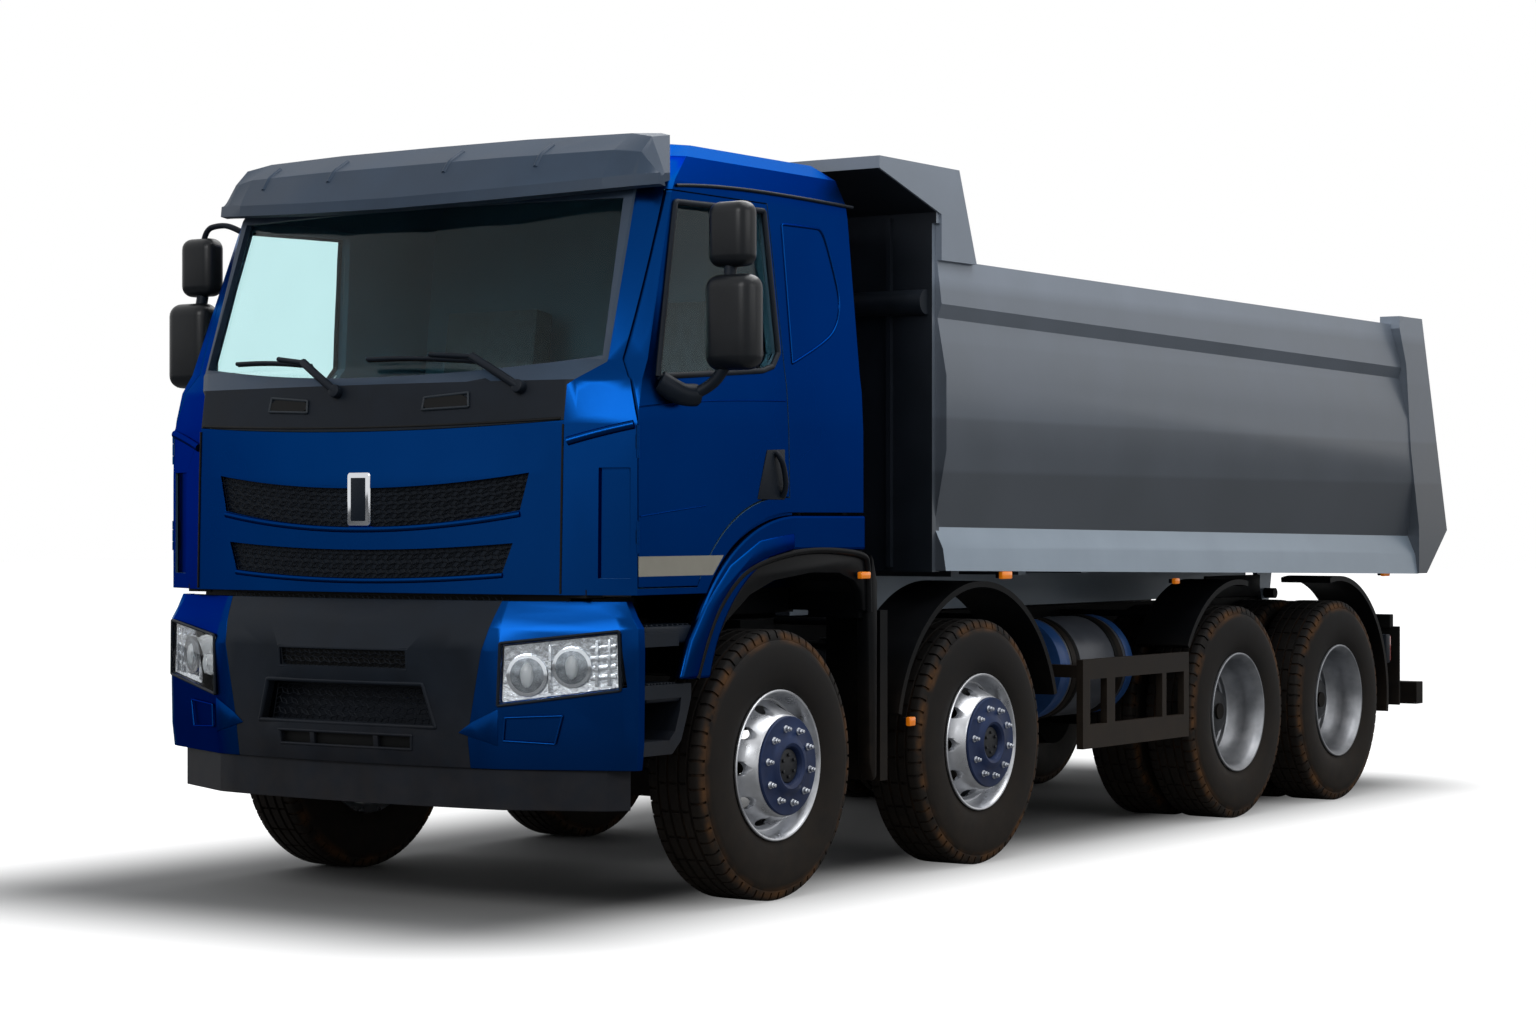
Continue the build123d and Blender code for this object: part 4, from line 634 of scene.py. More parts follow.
def shapeTube(name, points, radius, finish, order=3, resolution=3):
    clearSelection()
    line = bpy.data.curves.new(name, "CURVE")
    line.dimensions = "3D"
    line.bevel_depth = radius
    line.bevel_resolution = resolution
    line.use_fill_caps = True
    spline = line.splines.new("NURBS")
    spline.points.add(len(points) - 1)
    for point, (x, y, z) in zip(spline.points, points):
        point.co = (x, y, z, 1)
    spline.order_u = order
    spline.use_endpoint_u = True
    spline.resolution_u = 8
    tube = bpy.data.objects.new(name, line)
    bpy.context.scene.collection.objects.link(tube)
    makeActive(tube)
    bpy.ops.object.convert(target="MESH")
    tube = bpy.context.object
    tube.data.materials.append(finishes[finish])
    return smoothEdges(tube, 50)


def frontMesh(name, rows, opening, cell, depth, finish):
    # staggered wire mesh that follows the curved front inside an opening
    low, high = opening["low"], opening["high"]
    edgeLow, edgeHigh = opening["edges"]
    columns = int(2 * edgeHigh / cell[0])
    levels = max(2, int((high[1] - low[1]) / cell[1]))
    clearSelection()
    bpy.ops.mesh.primitive_grid_add(x_subdivisions=columns, y_subdivisions=levels, size=2, location=(0, 0, 0))
    mesh = bpy.context.object
    mesh.name = name
    for vertex in mesh.data.vertices:
        across, share = vertex.co.x, (vertex.co.y + 1) / 2
        level = round(share * levels)
        edge = edgeLow + (edgeHigh - edgeLow) * share
        stagger = 0.25 * cell[0] * (1 if level % 2 else -1) if abs(across) < 0.99 else 0
        y = across * edge + stagger
        zLow = curveHeight(low[0], low[1], edgeLow, y)
        zHigh = curveHeight(high[0], high[1], edgeHigh, y)
        wave = 0.22 * cell[1] * (1 if round((across + 1) / 2 * columns) % 2 else -1)
        z = zLow + (zHigh - zLow) * share + (wave if 0 < level < levels else 0)
        vertex.co = (frontX(rows, y, z) - depth, y, z)
    mesh.data.materials.append(finishes[finish])
    useModifier(mesh, "WIREFRAME", {"thickness": 0.0055, "use_even_offset": False, "use_replace": True})
    return smoothEdges(mesh, 40)


def addPiece(piece, body):
    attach(piece, body)
    return piece


# low and high give the heights at the edge and in the middle; edges the half widths there
openings = {
    "upper": {"low": (1.607, 1.545), "high": (1.757, 1.702), "edges": (0.790, 0.829)},
    "lower": {"low": (1.366, 1.338), "high": (1.481, 1.452), "edges": (0.715, 0.760)},
    "sill": {"low": (1.190, 1.186), "high": (1.272, 1.268), "edges": (0.720, 0.735)},
    "bumperSlot": {"low": (0.985, 0.985), "high": (1.055, 1.055), "edges": (0.330, 0.336)},
    "intake": {"low": (0.762, 0.762), "high": (0.905, 0.905), "edges": (0.440, 0.400)}, }
grilleMeshes = [frontMesh("mesh", cabFront, openings[name], (0.030, 0.017), depth, "wireBlack")
                for name, depth in (("upper", 0.014), ("lower", 0.014), ("sill", 0.020))]
addPiece(joinPieces("grilleMesh", grilleMeshes), "cab")

# dark backing behind the sill mesh, a flat sheet standing in for the shade in the opening (painted shade), and
# rounded lips round the two curved openings
clearSelection()
bpy.ops.mesh.primitive_grid_add(x_subdivisions=20, y_subdivisions=1, size=2, location=(0, 0, 0))
backing = bpy.context.object
backing.name = "sillBacking"
for vertex in backing.data.vertices:
    y = vertex.co.x * 0.98
    z = 1.150 if vertex.co.y < 0 else 1.300
    vertex.co = (frontX(cabFront, y, 1.28) - 0.050, y, z)
backing.data.materials.append(finishes["seamAndShadeBlack"])
useModifier(backing, "SOLIDIFY", {"thickness": 0.01})
addPiece(backing, "cab")


def openingLip(name, opening, edgeNumber, lift, radius, finish, rows=cabFront, inset=0.004):
    # bar along the top (1) or bottom (0) line of an opening
    edge = opening["edges"][edgeNumber]
    heights = (opening["low"], opening["high"])[edgeNumber]
    points = []
    for number in range(-12, 13):
        y = edge * number / 12
        z = curveHeight(heights[0], heights[1], edge, y) + lift
        points.append((frontX(rows, y, z) - inset, y, z))
    return shapeTube(name, points, radius, finish)


lips = [openingLip("lipUpper", openings["upper"], 0, -0.012, 0.013, "bluePaint"),
        openingLip("lipLower", openings["lower"], 0, -0.011, 0.012, "bluePaint"),
        openingLip("lipHood", openings["upper"], 1, 0.008, 0.010, "bluePaint", inset=0.010),
        openingLip("lipMiddle", openings["lower"], 1, 0.008, 0.009, "bluePaint", inset=0.010)]
addPiece(joinPieces("grilleLips", lips), "cab")
slats = []
for opening in (openings["upper"], openings["lower"]):
    for share in (0.30, 0.66):
        points = []
        for number in range(-10, 11):
            y = 0.97 * number / 10 * (opening["edges"][0] + share * (opening["edges"][1] - opening["edges"][0]))
            zLow = curveHeight(opening["low"][0], opening["low"][1], opening["edges"][0], y)
            zHigh = curveHeight(opening["high"][0], opening["high"][1], opening["edges"][1], y)
            z = zLow + share * (zHigh - zLow)
            points.append((frontX(cabFront, y, z) - 0.030, y, z))
        slats.append(shapeTube("slat", points, 0.006, "blackPlastic"))
addPiece(joinPieces("grilleSlats", slats), "cab")

# blank plate where the upper bars meet
plateX = frontX(cabFront, 0, 1.62)
plate = shapePlate("nosePlate", ((-0.052, 1.545), (0.052, 1.545), (0.062, 1.555), (0.062, 1.755), (0.052, 1.765),
                                 (-0.052, 1.765), (-0.062, 1.755), (-0.062, 1.555)), "x",
                   plateX - 0.035, plateX + 0.001, "chromeTrim", 0.008, 3)
plateFace = shapePlate("plateFace", ((-0.040, 1.567), (0.040, 1.567), (0.040, 1.743), (-0.040, 1.743)), "x",
                       plateX - 0.004, plateX + 0.0025, "blackPlastic", 0.004)
addPiece(joinPieces("nosePlate", [plate, plateFace]), "cab")
print("front openings made")

# ---- bumper: slots, intake and blanks ----

bumperMeshes = [frontMesh("mesh_slot", bumperFront, openings["bumperSlot"], (0.026, 0.016), 0.012, "wireBlack"),
                frontMesh("mesh_intake", bumperFront, openings["intake"], (0.030, 0.020), 0.050, "wireBlack")]
addPiece(joinPieces("bumperMesh", bumperMeshes), "chassis")


def frontPatch(name, outline, rows, depth, thick, finish, bevel=0.003, steps=6):
    # flat outline (y, z) laid on the curved front
    patch = closedLine(name, [(0, y, z) for y, z in outline], "NGON")
    inner, outer = min(y for y, z in outline), max(y for y, z in outline)
    bpy.ops.object.mode_set(mode="EDIT")
    for step in range(1, steps):
        bpy.ops.mesh.select_all(action="SELECT")
        bpy.ops.mesh.bisect(plane_co=(0, inner + (outer - inner) * step / steps, 0), plane_no=(0, 1, 0))
    bpy.ops.object.mode_set(mode="OBJECT")
    for vertex in patch.data.vertices:
        vertex.co.x = frontX(rows, vertex.co.y, vertex.co.z) - depth
    pushFace(patch, (-thick, 0, 0), finish)
    if bevel:
        bevelEdges(patch, bevel, 2, 40)
    return smoothEdges(patch, 35)


def closedPoints(outline, shares):
    # points at the given shares of each side of an outline, closed at the end
    closed = list(outline) + [outline[0]]
    points = [(a0 + share * (a1 - a0), b0 + share * (b1 - b0))
              for (a0, b0), (a1, b1) in zip(closed, closed[1:]) for share in shares]
    return points + [points[0]]


def frameOutline(name, outline, rows, radius, finish, depth=0.0):
    points = [(frontX(rows, y, z) - depth, y, z) for y, z in closedPoints(outline, (0.0, 0.03, 0.5, 0.97))]
    return shapeTube(name, points, radius, finish)


# the black backs in the two bumper slots stand in for the shade inside them: painted shade
slotBack = frontPatch("slotBack", ((-0.336, 0.980), (0.336, 0.980), (0.342, 1.060), (-0.342, 1.060)), bumperFront,
                      0.020, 0.004, "seamAndShadeBlack", 0)
slotFrame = frameOutline("slotFrame", ((-0.340, 0.978), (0.340, 0.978), (0.346, 1.064), (-0.346, 1.064)),
                         bumperFront, 0.005, "blackPlastic", 0.004)
lowSlot = frontPatch("lowSlot", ((-0.345, 0.668), (0.345, 0.668), (0.350, 0.716), (-0.350, 0.716)), bumperFront,
                     0.020, 0.004, "seamAndShadeBlack", 0)
lowFrame = frameOutline("lowFrame", ((-0.350, 0.664), (0.350, 0.664), (0.356, 0.720), (-0.356, 0.720)),
                        bumperFront, 0.006, "blackPlastic")
lowBars = [frontPatch("lowBar", ((y - 0.012, 0.664), (y + 0.012, 0.664), (y + 0.012, 0.720), (y - 0.012, 0.720)),
                      bumperFront, 0.002, 0.02, "blackPlastic", 0.002, 1) for y in (-0.17, 0.17)]
intakeFrame = frameOutline("intakeFrame", ((-0.470, 0.755), (0.470, 0.755), (0.415, 0.925), (-0.415, 0.925)),
                           bumperFront, 0.009, "blackPlastic", 0.002)
wedges = [frontPatch("wedge", tuple((sign * y, z) for y, z in ((0.575, 0.738), (0.756, 0.690), (0.756, 0.835),
                                                                 (0.640, 0.782))),
                     bumperFront, -0.004, 0.012, "bluePaint", 0.004, 3) for sign in (1, -1)]
addPiece(joinPieces("bumperWedges", wedges), "chassis")
addPiece(joinPieces("bumperTrim", [slotBack, slotFrame, lowSlot, lowFrame, intakeFrame] + lowBars), "chassis")
print("bumper trim made")

# ---- headlamps and blanks in the bumper's corners ----


def cornerPoint(sign, share, height, proud=0.0):
    # on the lamp's plane: share 0 at its inner end, 1 at its outer end
    lampInner, lampOuter = (1.222, 0.757), (1.026, 1.206)
    x = lampInner[0] + share * (lampOuter[0] - lampInner[0])
    y = lampInner[1] + share * (lampOuter[1] - lampInner[1])
    slope = math.hypot(lampOuter[0] - lampInner[0], lampOuter[1] - lampInner[1])
    outX, outY = (lampOuter[1] - lampInner[1]) / slope, (lampInner[0] - lampOuter[0]) / slope
    return Vector((noseX + x + proud * outX, sign * (y + proud * outY), height))


def cornerPatch(name, sign, outline, proud, thick, finish, bevel=0.003, segments=2):
    # outline of (share, height) on the lamp's plane, pushed inward by thick
    patch = closedLine(name, [cornerPoint(sign, share, height, proud) for share, height in outline], "NGON")
    pushFace(patch, tuple(cornerPoint(sign, 0, 0, -thick) - cornerPoint(sign, 0, 0, 0)), finish)
    if bevel:
        bevelEdges(patch, bevel, segments, 40)
    return smoothEdges(patch, 35)


def cornerFrame(name, sign, outline, proud, radius, finish):
    points = [cornerPoint(sign, share, height, proud)
              for share, height in closedPoints(outline, (0.0, 0.04, 0.5, 0.96))]
    return shapeTube(name, points, radius, finish)


lampOutline = ((0.025, 0.862), (0.985, 0.925), (0.975, 1.128), (0.045, 1.078))
blankOutline = ((0.045, 0.712), (0.47, 0.702), (0.53, 0.812), (0.06, 0.802))
for side, sign in sides:
    bowl = cornerPatch("lampBowl", sign, ((0.0, 0.842), (1.01, 0.906), (1.0, 1.148), (0.02, 1.098)), -0.030, 0.006,
                       "blackPlastic", 0.0)
    reflector = cornerPatch("reflector", sign, lampOutline, -0.027, 0.003, "lampChrome", 0.001, 1)
    parts = [bowl, reflector]
    for share, height, radius in ((0.235, 0.968, 0.083), (0.60, 1.000, 0.080)):
        centre = cornerPoint(sign, share, height, -0.026)
        outward = (cornerPoint(sign, share, height, 1.0) - cornerPoint(sign, share, height, 0.0)).normalized()
        ring = shapeRod("lampRing", centre, centre + outward * 0.014, radius, "chromeTrim", 40, 0.005)
        well = shapeRod("lampWell", centre + outward * 0.010, centre + outward * 0.0150, radius * 0.82,
                        "lampDeep", 40, 0.002)
        clearSelection()
        bpy.ops.mesh.primitive_uv_sphere_add(segments=32, ring_count=16, radius=radius * 0.62,
                                             location=centre + outward * 0.006)
        bulb = bpy.context.object
        bulb.scale = (0.55, 0.55, 1.0)
        bpy.ops.object.transform_apply(location=True, rotation=True, scale=True)
        bulb.data.materials.append(finishes["lampLens"])
        smoothEdges(bulb, 60)
        parts += [ring, well, bulb]
    for share, low, high in ((0.42, 0.900, 1.085), (0.80, 0.925, 1.105), (0.90, 0.930, 1.110)):
        parts.append(cornerPatch("divider", sign, ((share - 0.012, low), (share + 0.012, low + 0.002),
                                                   (share + 0.016, high), (share - 0.008, high)), -0.010, 0.016,
                                 "lampChrome", 0.002))
    for level in (0.948, 0.985, 1.022, 1.060):
        parts.append(cornerPatch("facet", sign, ((0.745, level), (0.955, level + 0.010), (0.955, level + 0.030),
                                                 (0.745, level + 0.020)), -0.018, 0.008, "lampChrome", 0.004))
    lamp = joinPieces("lampInside_" + side, parts)
    addPiece(lamp, "chassis")
    cover = cornerPatch("lampCover_" + side, sign, ((0.01, 0.852), (0.995, 0.915), (0.985, 1.138), (0.03, 1.088)),
                        0.001, 0.003, "clearCover", 0.001)
    addPiece(cover, "chassis")
    rim = cornerFrame("lampRim_" + side, sign, ((0.0, 0.848), (1.0, 0.912), (0.99, 1.142), (0.02, 1.092)), 0.001,
                      0.0065, "blackPlastic")
    addPiece(rim, "chassis")
    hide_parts("headlamps")
    blank = cornerFrame("fogBlank_" + side, sign, blankOutline, 0.001, 0.0045, "bluePaint")
    addPiece(blank, "chassis")
print("lamps made")

# ---- doors, mirrors, cowl and roof ----

# height and half width of the cab's side, with the side taken as flat between them
cabSide = ((1.280, 1.250), (1.750, 1.250), (1.950, 1.249), (2.120, 1.241), (2.200, 1.230), (2.870, 1.168),
           (2.930, 1.158), (3.040, 1.105))


def sideY(height):
    lower, upper = cabSide[0], cabSide[1]
    for first, second in zip(cabSide, cabSide[1:]):
        if height >= first[0]:
            lower, upper = first, second
    share = max(0, min(1, (height - lower[0]) / (upper[0] - lower[0])))
    return lower[1] + share * (upper[1] - lower[1])


def sideLine(name, sign, points, radius, finish, proud=0.0):
    # line of (x from the first axle, height) laid on the cab's side
    return shapeTube(name, [(noseX + x, sign * (sideY(z) + proud), z) for x, z in points], radius, finish, 3, 2)


def sideTube(name, sign, points, radius, finish, resolution=3):
    # x from the first axle, y outwards
    return shapeTube(name, [(noseX + x, sign * y, z) for x, y, z in points], radius, finish, 3, resolution)


def sideBlock(name, sign, xs, ys, zs, finish, bevel=0.0, segments=2):
    across = sorted((sign * ys[0], sign * ys[1]))
    return shapeBlock(name, (noseX + xs[0], across[0], zs[0]), (noseX + xs[1], across[1], zs[1]), finish, bevel,
                      segments)


def sidePlate(name, sign, outline, ys, finish, bevel=0.0, segments=2):
    return shapePlate(name, [(noseX + x, z) for x, z in outline], "y", sign * ys[0], sign * ys[1], finish, bevel,
                      segments)


def sidePatch(name, sign, outline, proud, thick, finish, bevel=0.002):
    patch = closedLine(name, [(noseX + x, sign * (sideY(z) + proud), z) for x, z in outline], "NGON")
    pushFace(patch, (0, -sign * thick, 0), finish)
    if bevel:
        bevelEdges(patch, bevel, 2, 40)
    return smoothEdges(patch, 35)


windowOutline = ((0.830, 2.132), (0.620, 2.838), (-0.005, 2.852), (-0.030, 2.262), (0.020, 2.205), (0.095, 2.185))
for side, sign in sides:
    body = "door_" + side
    seal = closedPoints(windowOutline, (0.0, 0.04, 0.35, 0.65, 0.96))
    addPiece(sideLine("windowSeal_" + side, sign, seal, 0.013, "blackPlastic", 0.002), body)
    handle = [sidePatch("handlePlate", sign, ((-0.045, 1.655), (0.155, 1.655), (0.085, 1.86), (-0.045, 1.865)),
                        0.004, 0.012, "blackPlastic", 0.005),
              sideTube("handleBar", sign, ((-0.020, 1.256, 1.665), (-0.020, 1.276, 1.700), (-0.005, 1.278, 1.770),
                                           (0.020, 1.276, 1.830), (0.030, 1.256, 1.850)), 0.012, "blackPlastic")]
    addPiece(joinPieces("doorHandle_" + side, handle), body)
    stripe = sidePatch("stripe_" + side, sign, ((0.966, 1.352), (0.470, 1.352), (0.395, 1.430), (0.966, 1.430)),
                       0.0012, 0.003, "stripeBeige", 0.0)
    addPiece(stripe, body)
    creases = [sideLine("crease", sign, ((0.955, 2.010), (0.60, 2.045), (0.10, 2.062), (-0.06, 2.064)), 0.0032,
                        "bluePaint"),
               sideLine("crease", sign, ((0.955, 1.585), (0.70, 1.612), (0.52, 1.628)), 0.0030, "bluePaint")]
    addPiece(joinPieces("doorCrease_" + side, creases), body)
    panel = ((-0.135, 2.225), (-0.135, 2.240), (-0.135, 2.790), (-0.135, 2.805), (-0.150, 2.808), (-0.395, 2.810),
             (-0.430, 2.806), (-0.465, 2.760), (-0.530, 2.560), (-0.535, 2.480), (-0.500, 2.400), (-0.420, 2.335),
             (-0.160, 2.232), (-0.135, 2.225))
    sleeper = [sideLine("sleeperSeam", sign, panel, 0.006, "bluePaint"),
               sideLine("gutter", sign, ((0.600, 2.905), (0.35, 2.930), (-0.30, 2.935), (-0.70, 2.925)), 0.007,
                        "blackPlastic", 0.002)]
    addPiece(joinPieces("sideTrim_" + side, sleeper), "cab")
    mirror = [sideTube("mirrorFoot", sign, ((0.815, 1.235, 2.115), (0.775, 1.265, 2.085), (0.715, 1.285, 2.060),
                                            (0.660, 1.300, 2.065)), 0.046, "blackPlastic"),
              sideTube("mirrorArm", sign, ((0.690, 1.290, 2.060), (0.655, 1.350, 2.085), (0.640, 1.420, 2.150),
                                           (0.632, 1.450, 2.230)), 0.024, "blackPlastic"),
              sideTube("mirrorLink", sign, ((0.625, 1.440, 2.500), (0.612, 1.435, 2.540), (0.606, 1.435, 2.600)),
                       0.026, "blackPlastic")]
    if sign < 0:
        mirror.append(sideTube("mirrorLoop", sign, ((0.605, 1.440, 2.780), (0.605, 1.430, 2.865),
                                                    (0.608, 1.330, 2.880), (0.612, 1.250, 2.868),
                                                    (0.615, 1.170, 2.830)), 0.013, "blackPlastic"))
    for headX, headY, low, high, deep, wide in ((0.605, 1.442, 2.566, 2.825, 0.115, 0.195),
                                                (0.632, 1.468, 2.159, 2.535, 0.135, 0.235)):
        rear, inner, outer = headX - deep / 2, headY - wide / 2, headY + wide / 2
        head = sideBlock("mirrorHead", sign, (rear, rear + deep), (inner, outer), (low, high), "mirrorPlastic",
                         0.42 * deep, 6)
        face = sideBlock("mirrorGlass", sign, (rear - 0.004, rear + 0.010), (inner + 0.035, outer - 0.035),
                         (low + 0.035, high - 0.035), "mirrorGlass", 0.004)
        mirror += [smoothEdges(head, 60), face]
    mirrorPiece = joinPieces("mirror_%s_rounded" % side, mirror)
    addPiece(mirrorPiece, body)
    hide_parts("mirror_" + side)

# cowl slots, wipers, visor ribs
cowlParts = []
slotLine = ((-0.530, 2.030), (-0.510, 2.020), (-0.335, 2.016), (-0.315, 2.026), (-0.318, 2.050), (-0.345, 2.066),
            (-0.500, 2.068), (-0.525, 2.055))
slotRim = ((-0.535, 2.020), (-0.310, 2.012), (-0.314, 2.060), (-0.528, 2.076))
for side, sign in sides:
    slotLines = [tuple((sign * y, z) for y, z in line) for line in (slotLine, slotRim)]
    # the cowl slots get a black patch standing in for the shade inside them: painted shade
    cowlParts += [frontPatch("cowlSlot", slotLines[0], cabFront, -0.006, 0.006, "seamAndShadeBlack", 0.0),
                  frameOutline("cowlFrame", slotLines[1], cabFront, 0.006, "cowlBlack", -0.003)]
for side, sign in sides:
    frontSeam = [(frontX(cabFront, 0.972, z) + 0.001, sign * 0.974, z)
                 for z in (1.285, 1.40, 1.60, 1.75, 1.86, 1.945)]
    shoulder = [sideTube("shoulderLine", sign, ((1.080, 0.990, 1.878), (1.030, 1.108, 1.915), (0.976, 1.236, 1.942)),
                         0.018, "bluePaint", 5),
                shapeTube("panelSeam", frontSeam, 0.0045, "seamAndShadeBlack"),
                # dark block filling the gap above the bumper's corner, standing in for the shade there: painted shade
                sideBlock("shadeGapFill", sign, (0.96, 1.062), (0.94, 1.07), (1.268, 1.300), "seamAndShadeBlack")]
    addPiece(joinPieces("cornerLines_" + side, shoulder), "cab")
seam = [(frontX(cabFront, 0.096 * y, 1.955) - 0.004, 0.096 * y, 1.945 + 0.00022 * y ** 2) for y in range(-10, 11)]
cowlParts.append(shapeTube("cowlSeam", seam, 0.007, "seamAndShadeBlack"))
addPiece(joinPieces("cowlTrim", cowlParts), "cab")
visorRibs = []
for y in (-0.86, -0.42, 0.22, 0.66):
    points = []
    for z in (2.985, 3.010, 3.035, 3.060, 3.082):
        found = visorSkin.ray_cast(Vector((noseX + 2, y, z)), Vector((-1, 0, 0)))
        if found[0]:
            points.append(tuple(found[1] - Vector((0.006, 0, 0))))
    if len(points) > 2:
        visorRibs.append(shapeTube("visorRib", points, 0.012, "visorGrey"))
if visorRibs:
    addPiece(joinPieces("visorRibs", visorRibs), "cab")
roofNubs = [shapeRod("antennaFoot", (noseX + 0.60, 0.985, 3.02), (noseX + 0.60, 0.985, 3.075), 0.030,
                     "blackPlastic", 28, 0.008),
            sideTube("antennaFin", 1, ((0.61, 0.985, 3.06), (0.585, 0.985, 3.095), (0.55, 0.985, 3.105)), 0.012,
                     "blackPlastic")]
addPiece(joinPieces("roofNubs", roofNubs), "cab")
wipers = []
for pivotY, elbowY, tipY, tipZ in ((-0.150, -0.370, -0.830, 2.232), (0.770, 0.520, -0.030, 2.226)):
    pivot = Vector((frontX(cabFront, pivotY, 2.110) + 0.018, pivotY, 2.095))
    elbow = Vector((frontX(cabFront, elbowY, 2.215) + 0.042, elbowY, 2.222))
    bladeMiddle = (elbowY + tipY) / 2 + 0.06
    holder = Vector((frontX(cabFront, bladeMiddle, tipZ) + 0.032, bladeMiddle, tipZ + 0.010))
    bend = pivot.lerp(elbow, 0.5) + Vector((0.022, 0, 0.010))
    blade = []
    for number in range(9):
        y = tipY + (elbowY + 0.03 - tipY) * number / 8
        z = tipZ + 0.008 * math.sin(math.pi * number / 8) - 0.003 * number
        blade.append((frontX(cabFront, y, z) + 0.020, y, z))
    rubber = [(x - 0.010, y, z - 0.007) for x, y, z in blade]
    wipers += [shapeRod("wiperPivot", pivot - Vector((0.035, 0, 0.006)), pivot + Vector((0.016, 0, 0.004)), 0.027,
                        "blackPlastic", 20, 0.005),
               shapeTube("wiperArm", [pivot, bend, elbow], 0.017, "blackPlastic"),
               shapeTube("wiperArm", [elbow, elbow.lerp(holder, 0.5), holder], 0.010, "blackPlastic"),
               shapeTube("wiperBlade", blade, 0.009, "blackPlastic"),
               shapeTube("wiperRubber", rubber, 0.006, "tyreRubber")]
addPiece(joinPieces("wipers", wipers), "cab")

# ---- lamps, liners and trim along the chassis ----

# lamp: middle, length and height
amberLamps = ((-0.637, 1.262, 1.335, 0.075, 0.030), (-1.850, 1.262, 1.318, 0.090, 0.036),
              (-1.061, 1.235, 0.684, 0.050, 0.040), (-3.62, 1.240, 1.262, 0.050, 0.030),
              (-6.30, 1.235, 1.262, 0.090, 0.030))
edgeLine = ((0.572, 0.945), (0.512, 1.080), (0.425, 1.222), (0.272, 1.352), (0.099, 1.408), (-0.159, 1.446),
            (-0.388, 1.452), (-0.663, 1.430), (-0.700, 1.390), (-0.705, 1.180))
innerLine = ((-0.665, 1.180), (-0.655, 1.262), (-0.600, 1.310), (-0.480, 1.346), (-0.273, 1.350), (0.010, 1.322),
             (0.190, 1.264), (0.355, 1.160), (0.465, 1.035), (0.530, 0.945))
flareLine = ((0.572, 0.945), (0.690, 0.942), (0.625, 1.096), (0.523, 1.233), (0.349, 1.390), (0.135, 1.490),
             (-0.120, 1.520), (-0.120, 1.448), (0.099, 1.410), (0.272, 1.354), (0.425, 1.224), (0.512, 1.081))
roofLine = tuple((x, z + 0.022) for x, z in innerLine) + tuple(reversed(innerLine))
wallLine = ((-0.70, 1.17), (0.52, 1.17), (0.40, 1.36), (0.10, 1.44), (-0.70, 1.44))
flapLine = ((-0.708, 0.52), (-0.700, 1.20), (-0.735, 1.43), (-0.775, 1.30), (-0.770, 0.46), (-0.740, 0.44))
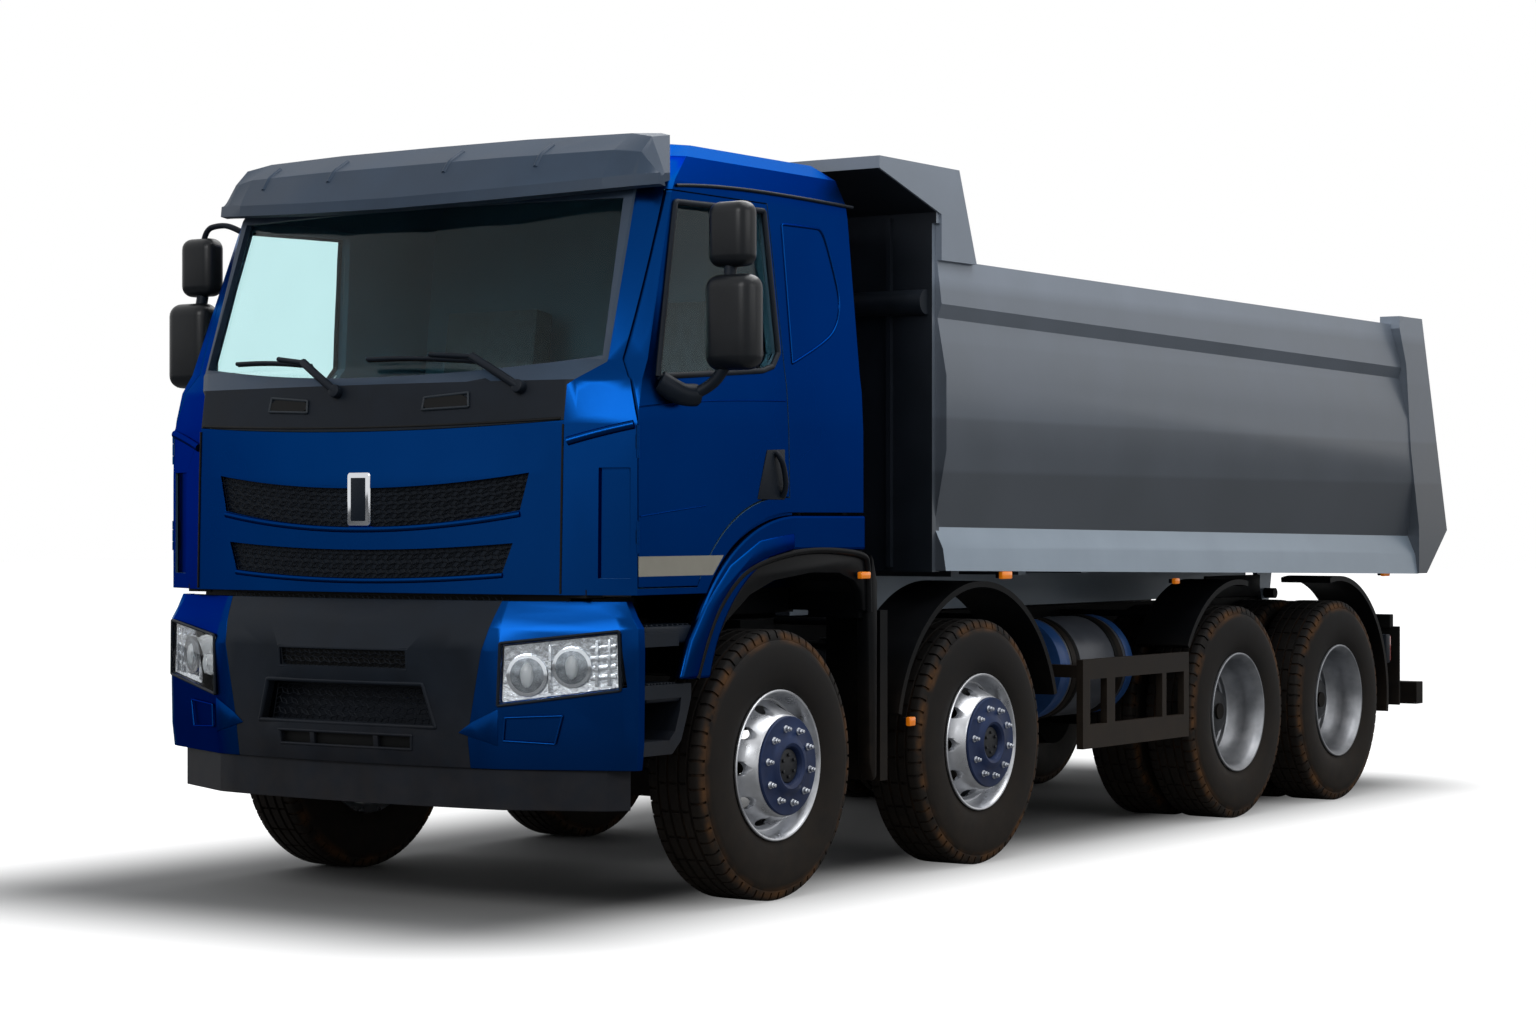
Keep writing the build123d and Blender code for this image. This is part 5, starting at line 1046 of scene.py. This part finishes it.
# painted ends and dark straps round the tank: rear, front, radius
tankBands = ((-3.616, -3.548, 0.2535, "tankBlueLit"), (-2.952, -2.852, 0.2535, "tankBlueLit"),
             (-3.545, -2.955, 0.2515, "tankGreyLit"), (-3.055, -3.015, 0.2575, "chassisBlack"),
             (-3.465, -3.425, 0.2575, "chassisBlack"))
for side, sign in sides:
    amber = []
    for x, y, z, long, high in amberLamps:
        amber.append(sideBlock("amberLamp", sign, (x - long / 2, x + long / 2), (y - 0.012, y + 0.012),
                               (z - high / 2, z + high / 2), "amber", 0.006))
        amber.append(sideBlock("amberFoot", sign, (x - long / 2 + 0.008, x + long / 2 - 0.008),
                               (y - 0.034, y - 0.010), (z - high / 2 + 0.004, z + high / 2 - 0.004),
                               "blackPlastic", 0.003))
    addPiece(joinPieces("amberLamps_" + side, amber), "chassis")
    flare = sidePlate("archFlare_" + side, sign, flareLine, (1.215, 1.256), "bluePaint", 0.014, 3)
    addPiece(smoothEdges(flare, 50), "chassis")
    liner = [sidePlate("linerBand", sign, edgeLine + innerLine, (1.190, 1.238), "guardPlastic", 0.008),
             sideTube("linerEdge", sign, [(x - 0.004, 1.238, z - 0.004) for x, z in edgeLine], 0.016, "guardPlastic"),
             sidePlate("linerRoof", sign, roofLine, (0.850, 1.200), "guardPlastic"),
             sidePlate("linerWall", sign, wallLine, (0.838, 0.852), "guardPlastic"),
             sidePlate("flapLip", sign, flapLine, (1.180, 1.246), "guardPlastic", 0.012)]
    addPiece(joinPieces("archLiner_" + side, liner), "chassis")
    # step treads with raised ribs, and the dark wall behind them
    treads = [sideBlock("stepWall", sign, (0.60, 0.94), (0.955, 0.975), (0.60, 1.24), "guardPlastic")]
    for rear, front, low, high in ((0.560, 0.895, 1.085, 1.155), (0.650, 0.880, 0.855, 0.925)):
        treads.append(sideBlock("tread", sign, (rear, front), (1.00, 1.225), (low, high), "blackPlastic", 0.012, 3))
        for number in range(9):
            x = rear + 0.03 + (front - rear - 0.06) * number / 8
            treads.append(sideBlock("treadRib", sign, (x - 0.006, x + 0.006), (1.06, 1.215),
                                    (high - 0.002, high + 0.006), "blackPlastic", 0.002, 1))
    addPiece(joinPieces("stepTreads_" + side, treads), "chassis")
    # dark plate between the third and fourth axles, standing in for the shade under the body there: painted shade
    underShade = sideBlock("underShadePanel_" + side, sign, (-5.30, -4.62), (0.900, 0.914), (1.150, 1.268), "guardPlastic",
                       0.003)
    addPiece(underShade, "chassis")
    bands = [shapeRod("tankBand", (noseX + rear, sign * 0.745, 0.830), (noseX + front, sign * 0.745, 0.830), radius,
                      finish, 64, 0.004) for rear, front, radius, finish in tankBands]
    addPiece(joinPieces("tankBands_" + side, bands), "chassis")
    tail = [sideBlock("tailLamp", sign, (-6.40, -6.335), (1.140, 1.230), (0.75, 0.90), "lampRed", 0.008),
            sideBlock("tailHousing", sign, (-6.37, -6.31), (1.133, 1.237), (0.742, 0.908), "blackPlastic", 0.008)]
    addPiece(joinPieces("tailLamps_" + side, tail), "chassis")
    canister = []
    for low, high, radius, finish, steps, bevel in ((0.70, 1.02, 0.085, "tankGreyLit", 40, 0.012),
                                                    (1.015, 1.050, 0.055, "chassisBlack", 32, 0.006)):
        canister.append(shapeRod("airCanister", (noseX - 0.93, sign * 0.90, low), (noseX - 0.93, sign * 0.90, high),
                                 radius, finish, steps, bevel))
    canister.append(shapeRod("guardReflector", (noseX - 0.930, sign * 1.15, 1.040),
                             (noseX - 0.921, sign * 1.15, 1.040), 0.024, "plateWhite", 28, 0.003))
    addPiece(joinPieces("airCanister_" + side, canister), "chassis")
print("trim made")

# ---- camera, floor and light ----

cameraView = {"place": (noseX + 10.588, 8.429, 1.569), "turn": 214.335, "rise": 0.161, "lens": 72.65}
bpy.ops.object.select_all(action="DESELECT")
bpy.ops.object.camera_add(location=cameraView["place"],
                          rotation=(math.radians(90 + cameraView["rise"]), 0, math.radians(cameraView["turn"] - 90)))
camera = bpy.context.object
camera.data.lens = cameraView["lens"]
camera.data.sensor_width = 36
camera.data.clip_end = 200
bpy.context.scene.camera = camera

bpy.ops.mesh.primitive_plane_add(size=160, location=(0, 0, 0))
floor = bpy.context.object
floor.name = "studioFloor"
floorPaint = bpy.data.materials.new("floorPaint")
floorPaint.use_nodes = True
tree = floorPaint.node_tree
floorShader = tree.nodes["Principled BSDF"]
floorShader.inputs["Base Color"].default_value = (0.22, 0.22, 0.22, 1)
floorShader.inputs["Roughness"].default_value = 0.9
floorShader.inputs["Emission Color"].default_value = (1, 1, 1, 1)
# the floor shines white for the camera outside a soft oblong round the truck; inside it the dark grey floor is left
# unlifted as a painted shadow shaped round the truck, and the lamps' own shadow falls on it as well
spot = addNode(tree, "TexCoord", {}).outputs["Object"]
for operation, amount in (("SUBTRACT", (0.3, -0.35, 0)), ("ABSOLUTE", (0, 0, 0)), ("SUBTRACT", (3.9, 1.0, 0)),
                          ("MAXIMUM", (0, 0, 0))):
    spot = addNode(tree, "VectorMath", {0: spot, 1: amount}, operation=operation).outputs["Vector"]
paintedShadowReach = addNode(tree, "VectorMath", {0: spot}, operation="LENGTH").outputs["Value"]
outsidePaintedShadow = addNode(tree, "MapRange", {"Value": paintedShadowReach, "From Min": 0, "From Max": 1.45},
                 interpolation_type="SMOOTHSTEP")
lift = multiply(tree, addNode(tree, "LightPath", {}).outputs["Is Camera Ray"], outsidePaintedShadow.outputs["Result"])
tree.links.new(lift, floorShader.inputs["Emission Strength"])
floor.data.materials.append(floorPaint)

world = bpy.data.worlds.new("studio")
bpy.context.scene.world = world
world.use_nodes = True
tree = world.node_tree
tree.nodes.clear()
rays = addNode(tree, "LightPath", {}).outputs
seen = rays["Is Camera Ray"]
for kind in ("Is Glossy Ray", "Is Transmission Ray"):
    seen = addNode(tree, "Math", {0: seen, 1: rays[kind]}, operation="MAXIMUM").outputs["Value"]
roomLight = addNode(tree, "Background", {"Color": (0.9, 0.95, 1, 1), "Strength": 0.3}).outputs["Background"]
whiteWall = addNode(tree, "Background", {"Color": (1, 1, 1, 1), "Strength": 1}).outputs["Background"]
around = addNode(tree, "MixShader", {"Fac": seen, 1: roomLight, 2: whiteWall})
addNode(tree, "OutputWorld", {"Surface": around.outputs["Shader"]})

lampPlaces = {
    "skyPanel": {"place": (-1, 1, 8), "aim": (0, 0, 0), "size": (12, 6), "power": 760},
    "sidePanel": {"place": (2, 11, 5), "aim": (0, 0, 1.4), "size": (9, 3), "power": 230},
    "nosePanel": {"place": (13, 1.5, 6.5), "aim": (3, 0, 1.4), "size": (5, 3), "power": 410}, }
for lampName, lamp in lampPlaces.items():
    bpy.ops.object.light_add(type="AREA", location=lamp["place"])
    light = bpy.context.object
    light.name = lampName
    light.data.shape = "RECTANGLE"
    light.data.size, light.data.size_y = lamp["size"]
    light.data.energy = lamp["power"]
    toward = Vector(lamp["aim"]) - Vector(lamp["place"])
    light.rotation_euler = toward.to_track_quat("-Z", "Y").to_euler()
bpy.context.scene.view_settings.view_transform = "Standard"
print("camera, floor and light set")

# ---- last update of the view layer ----

bpy.context.view_layer.update()
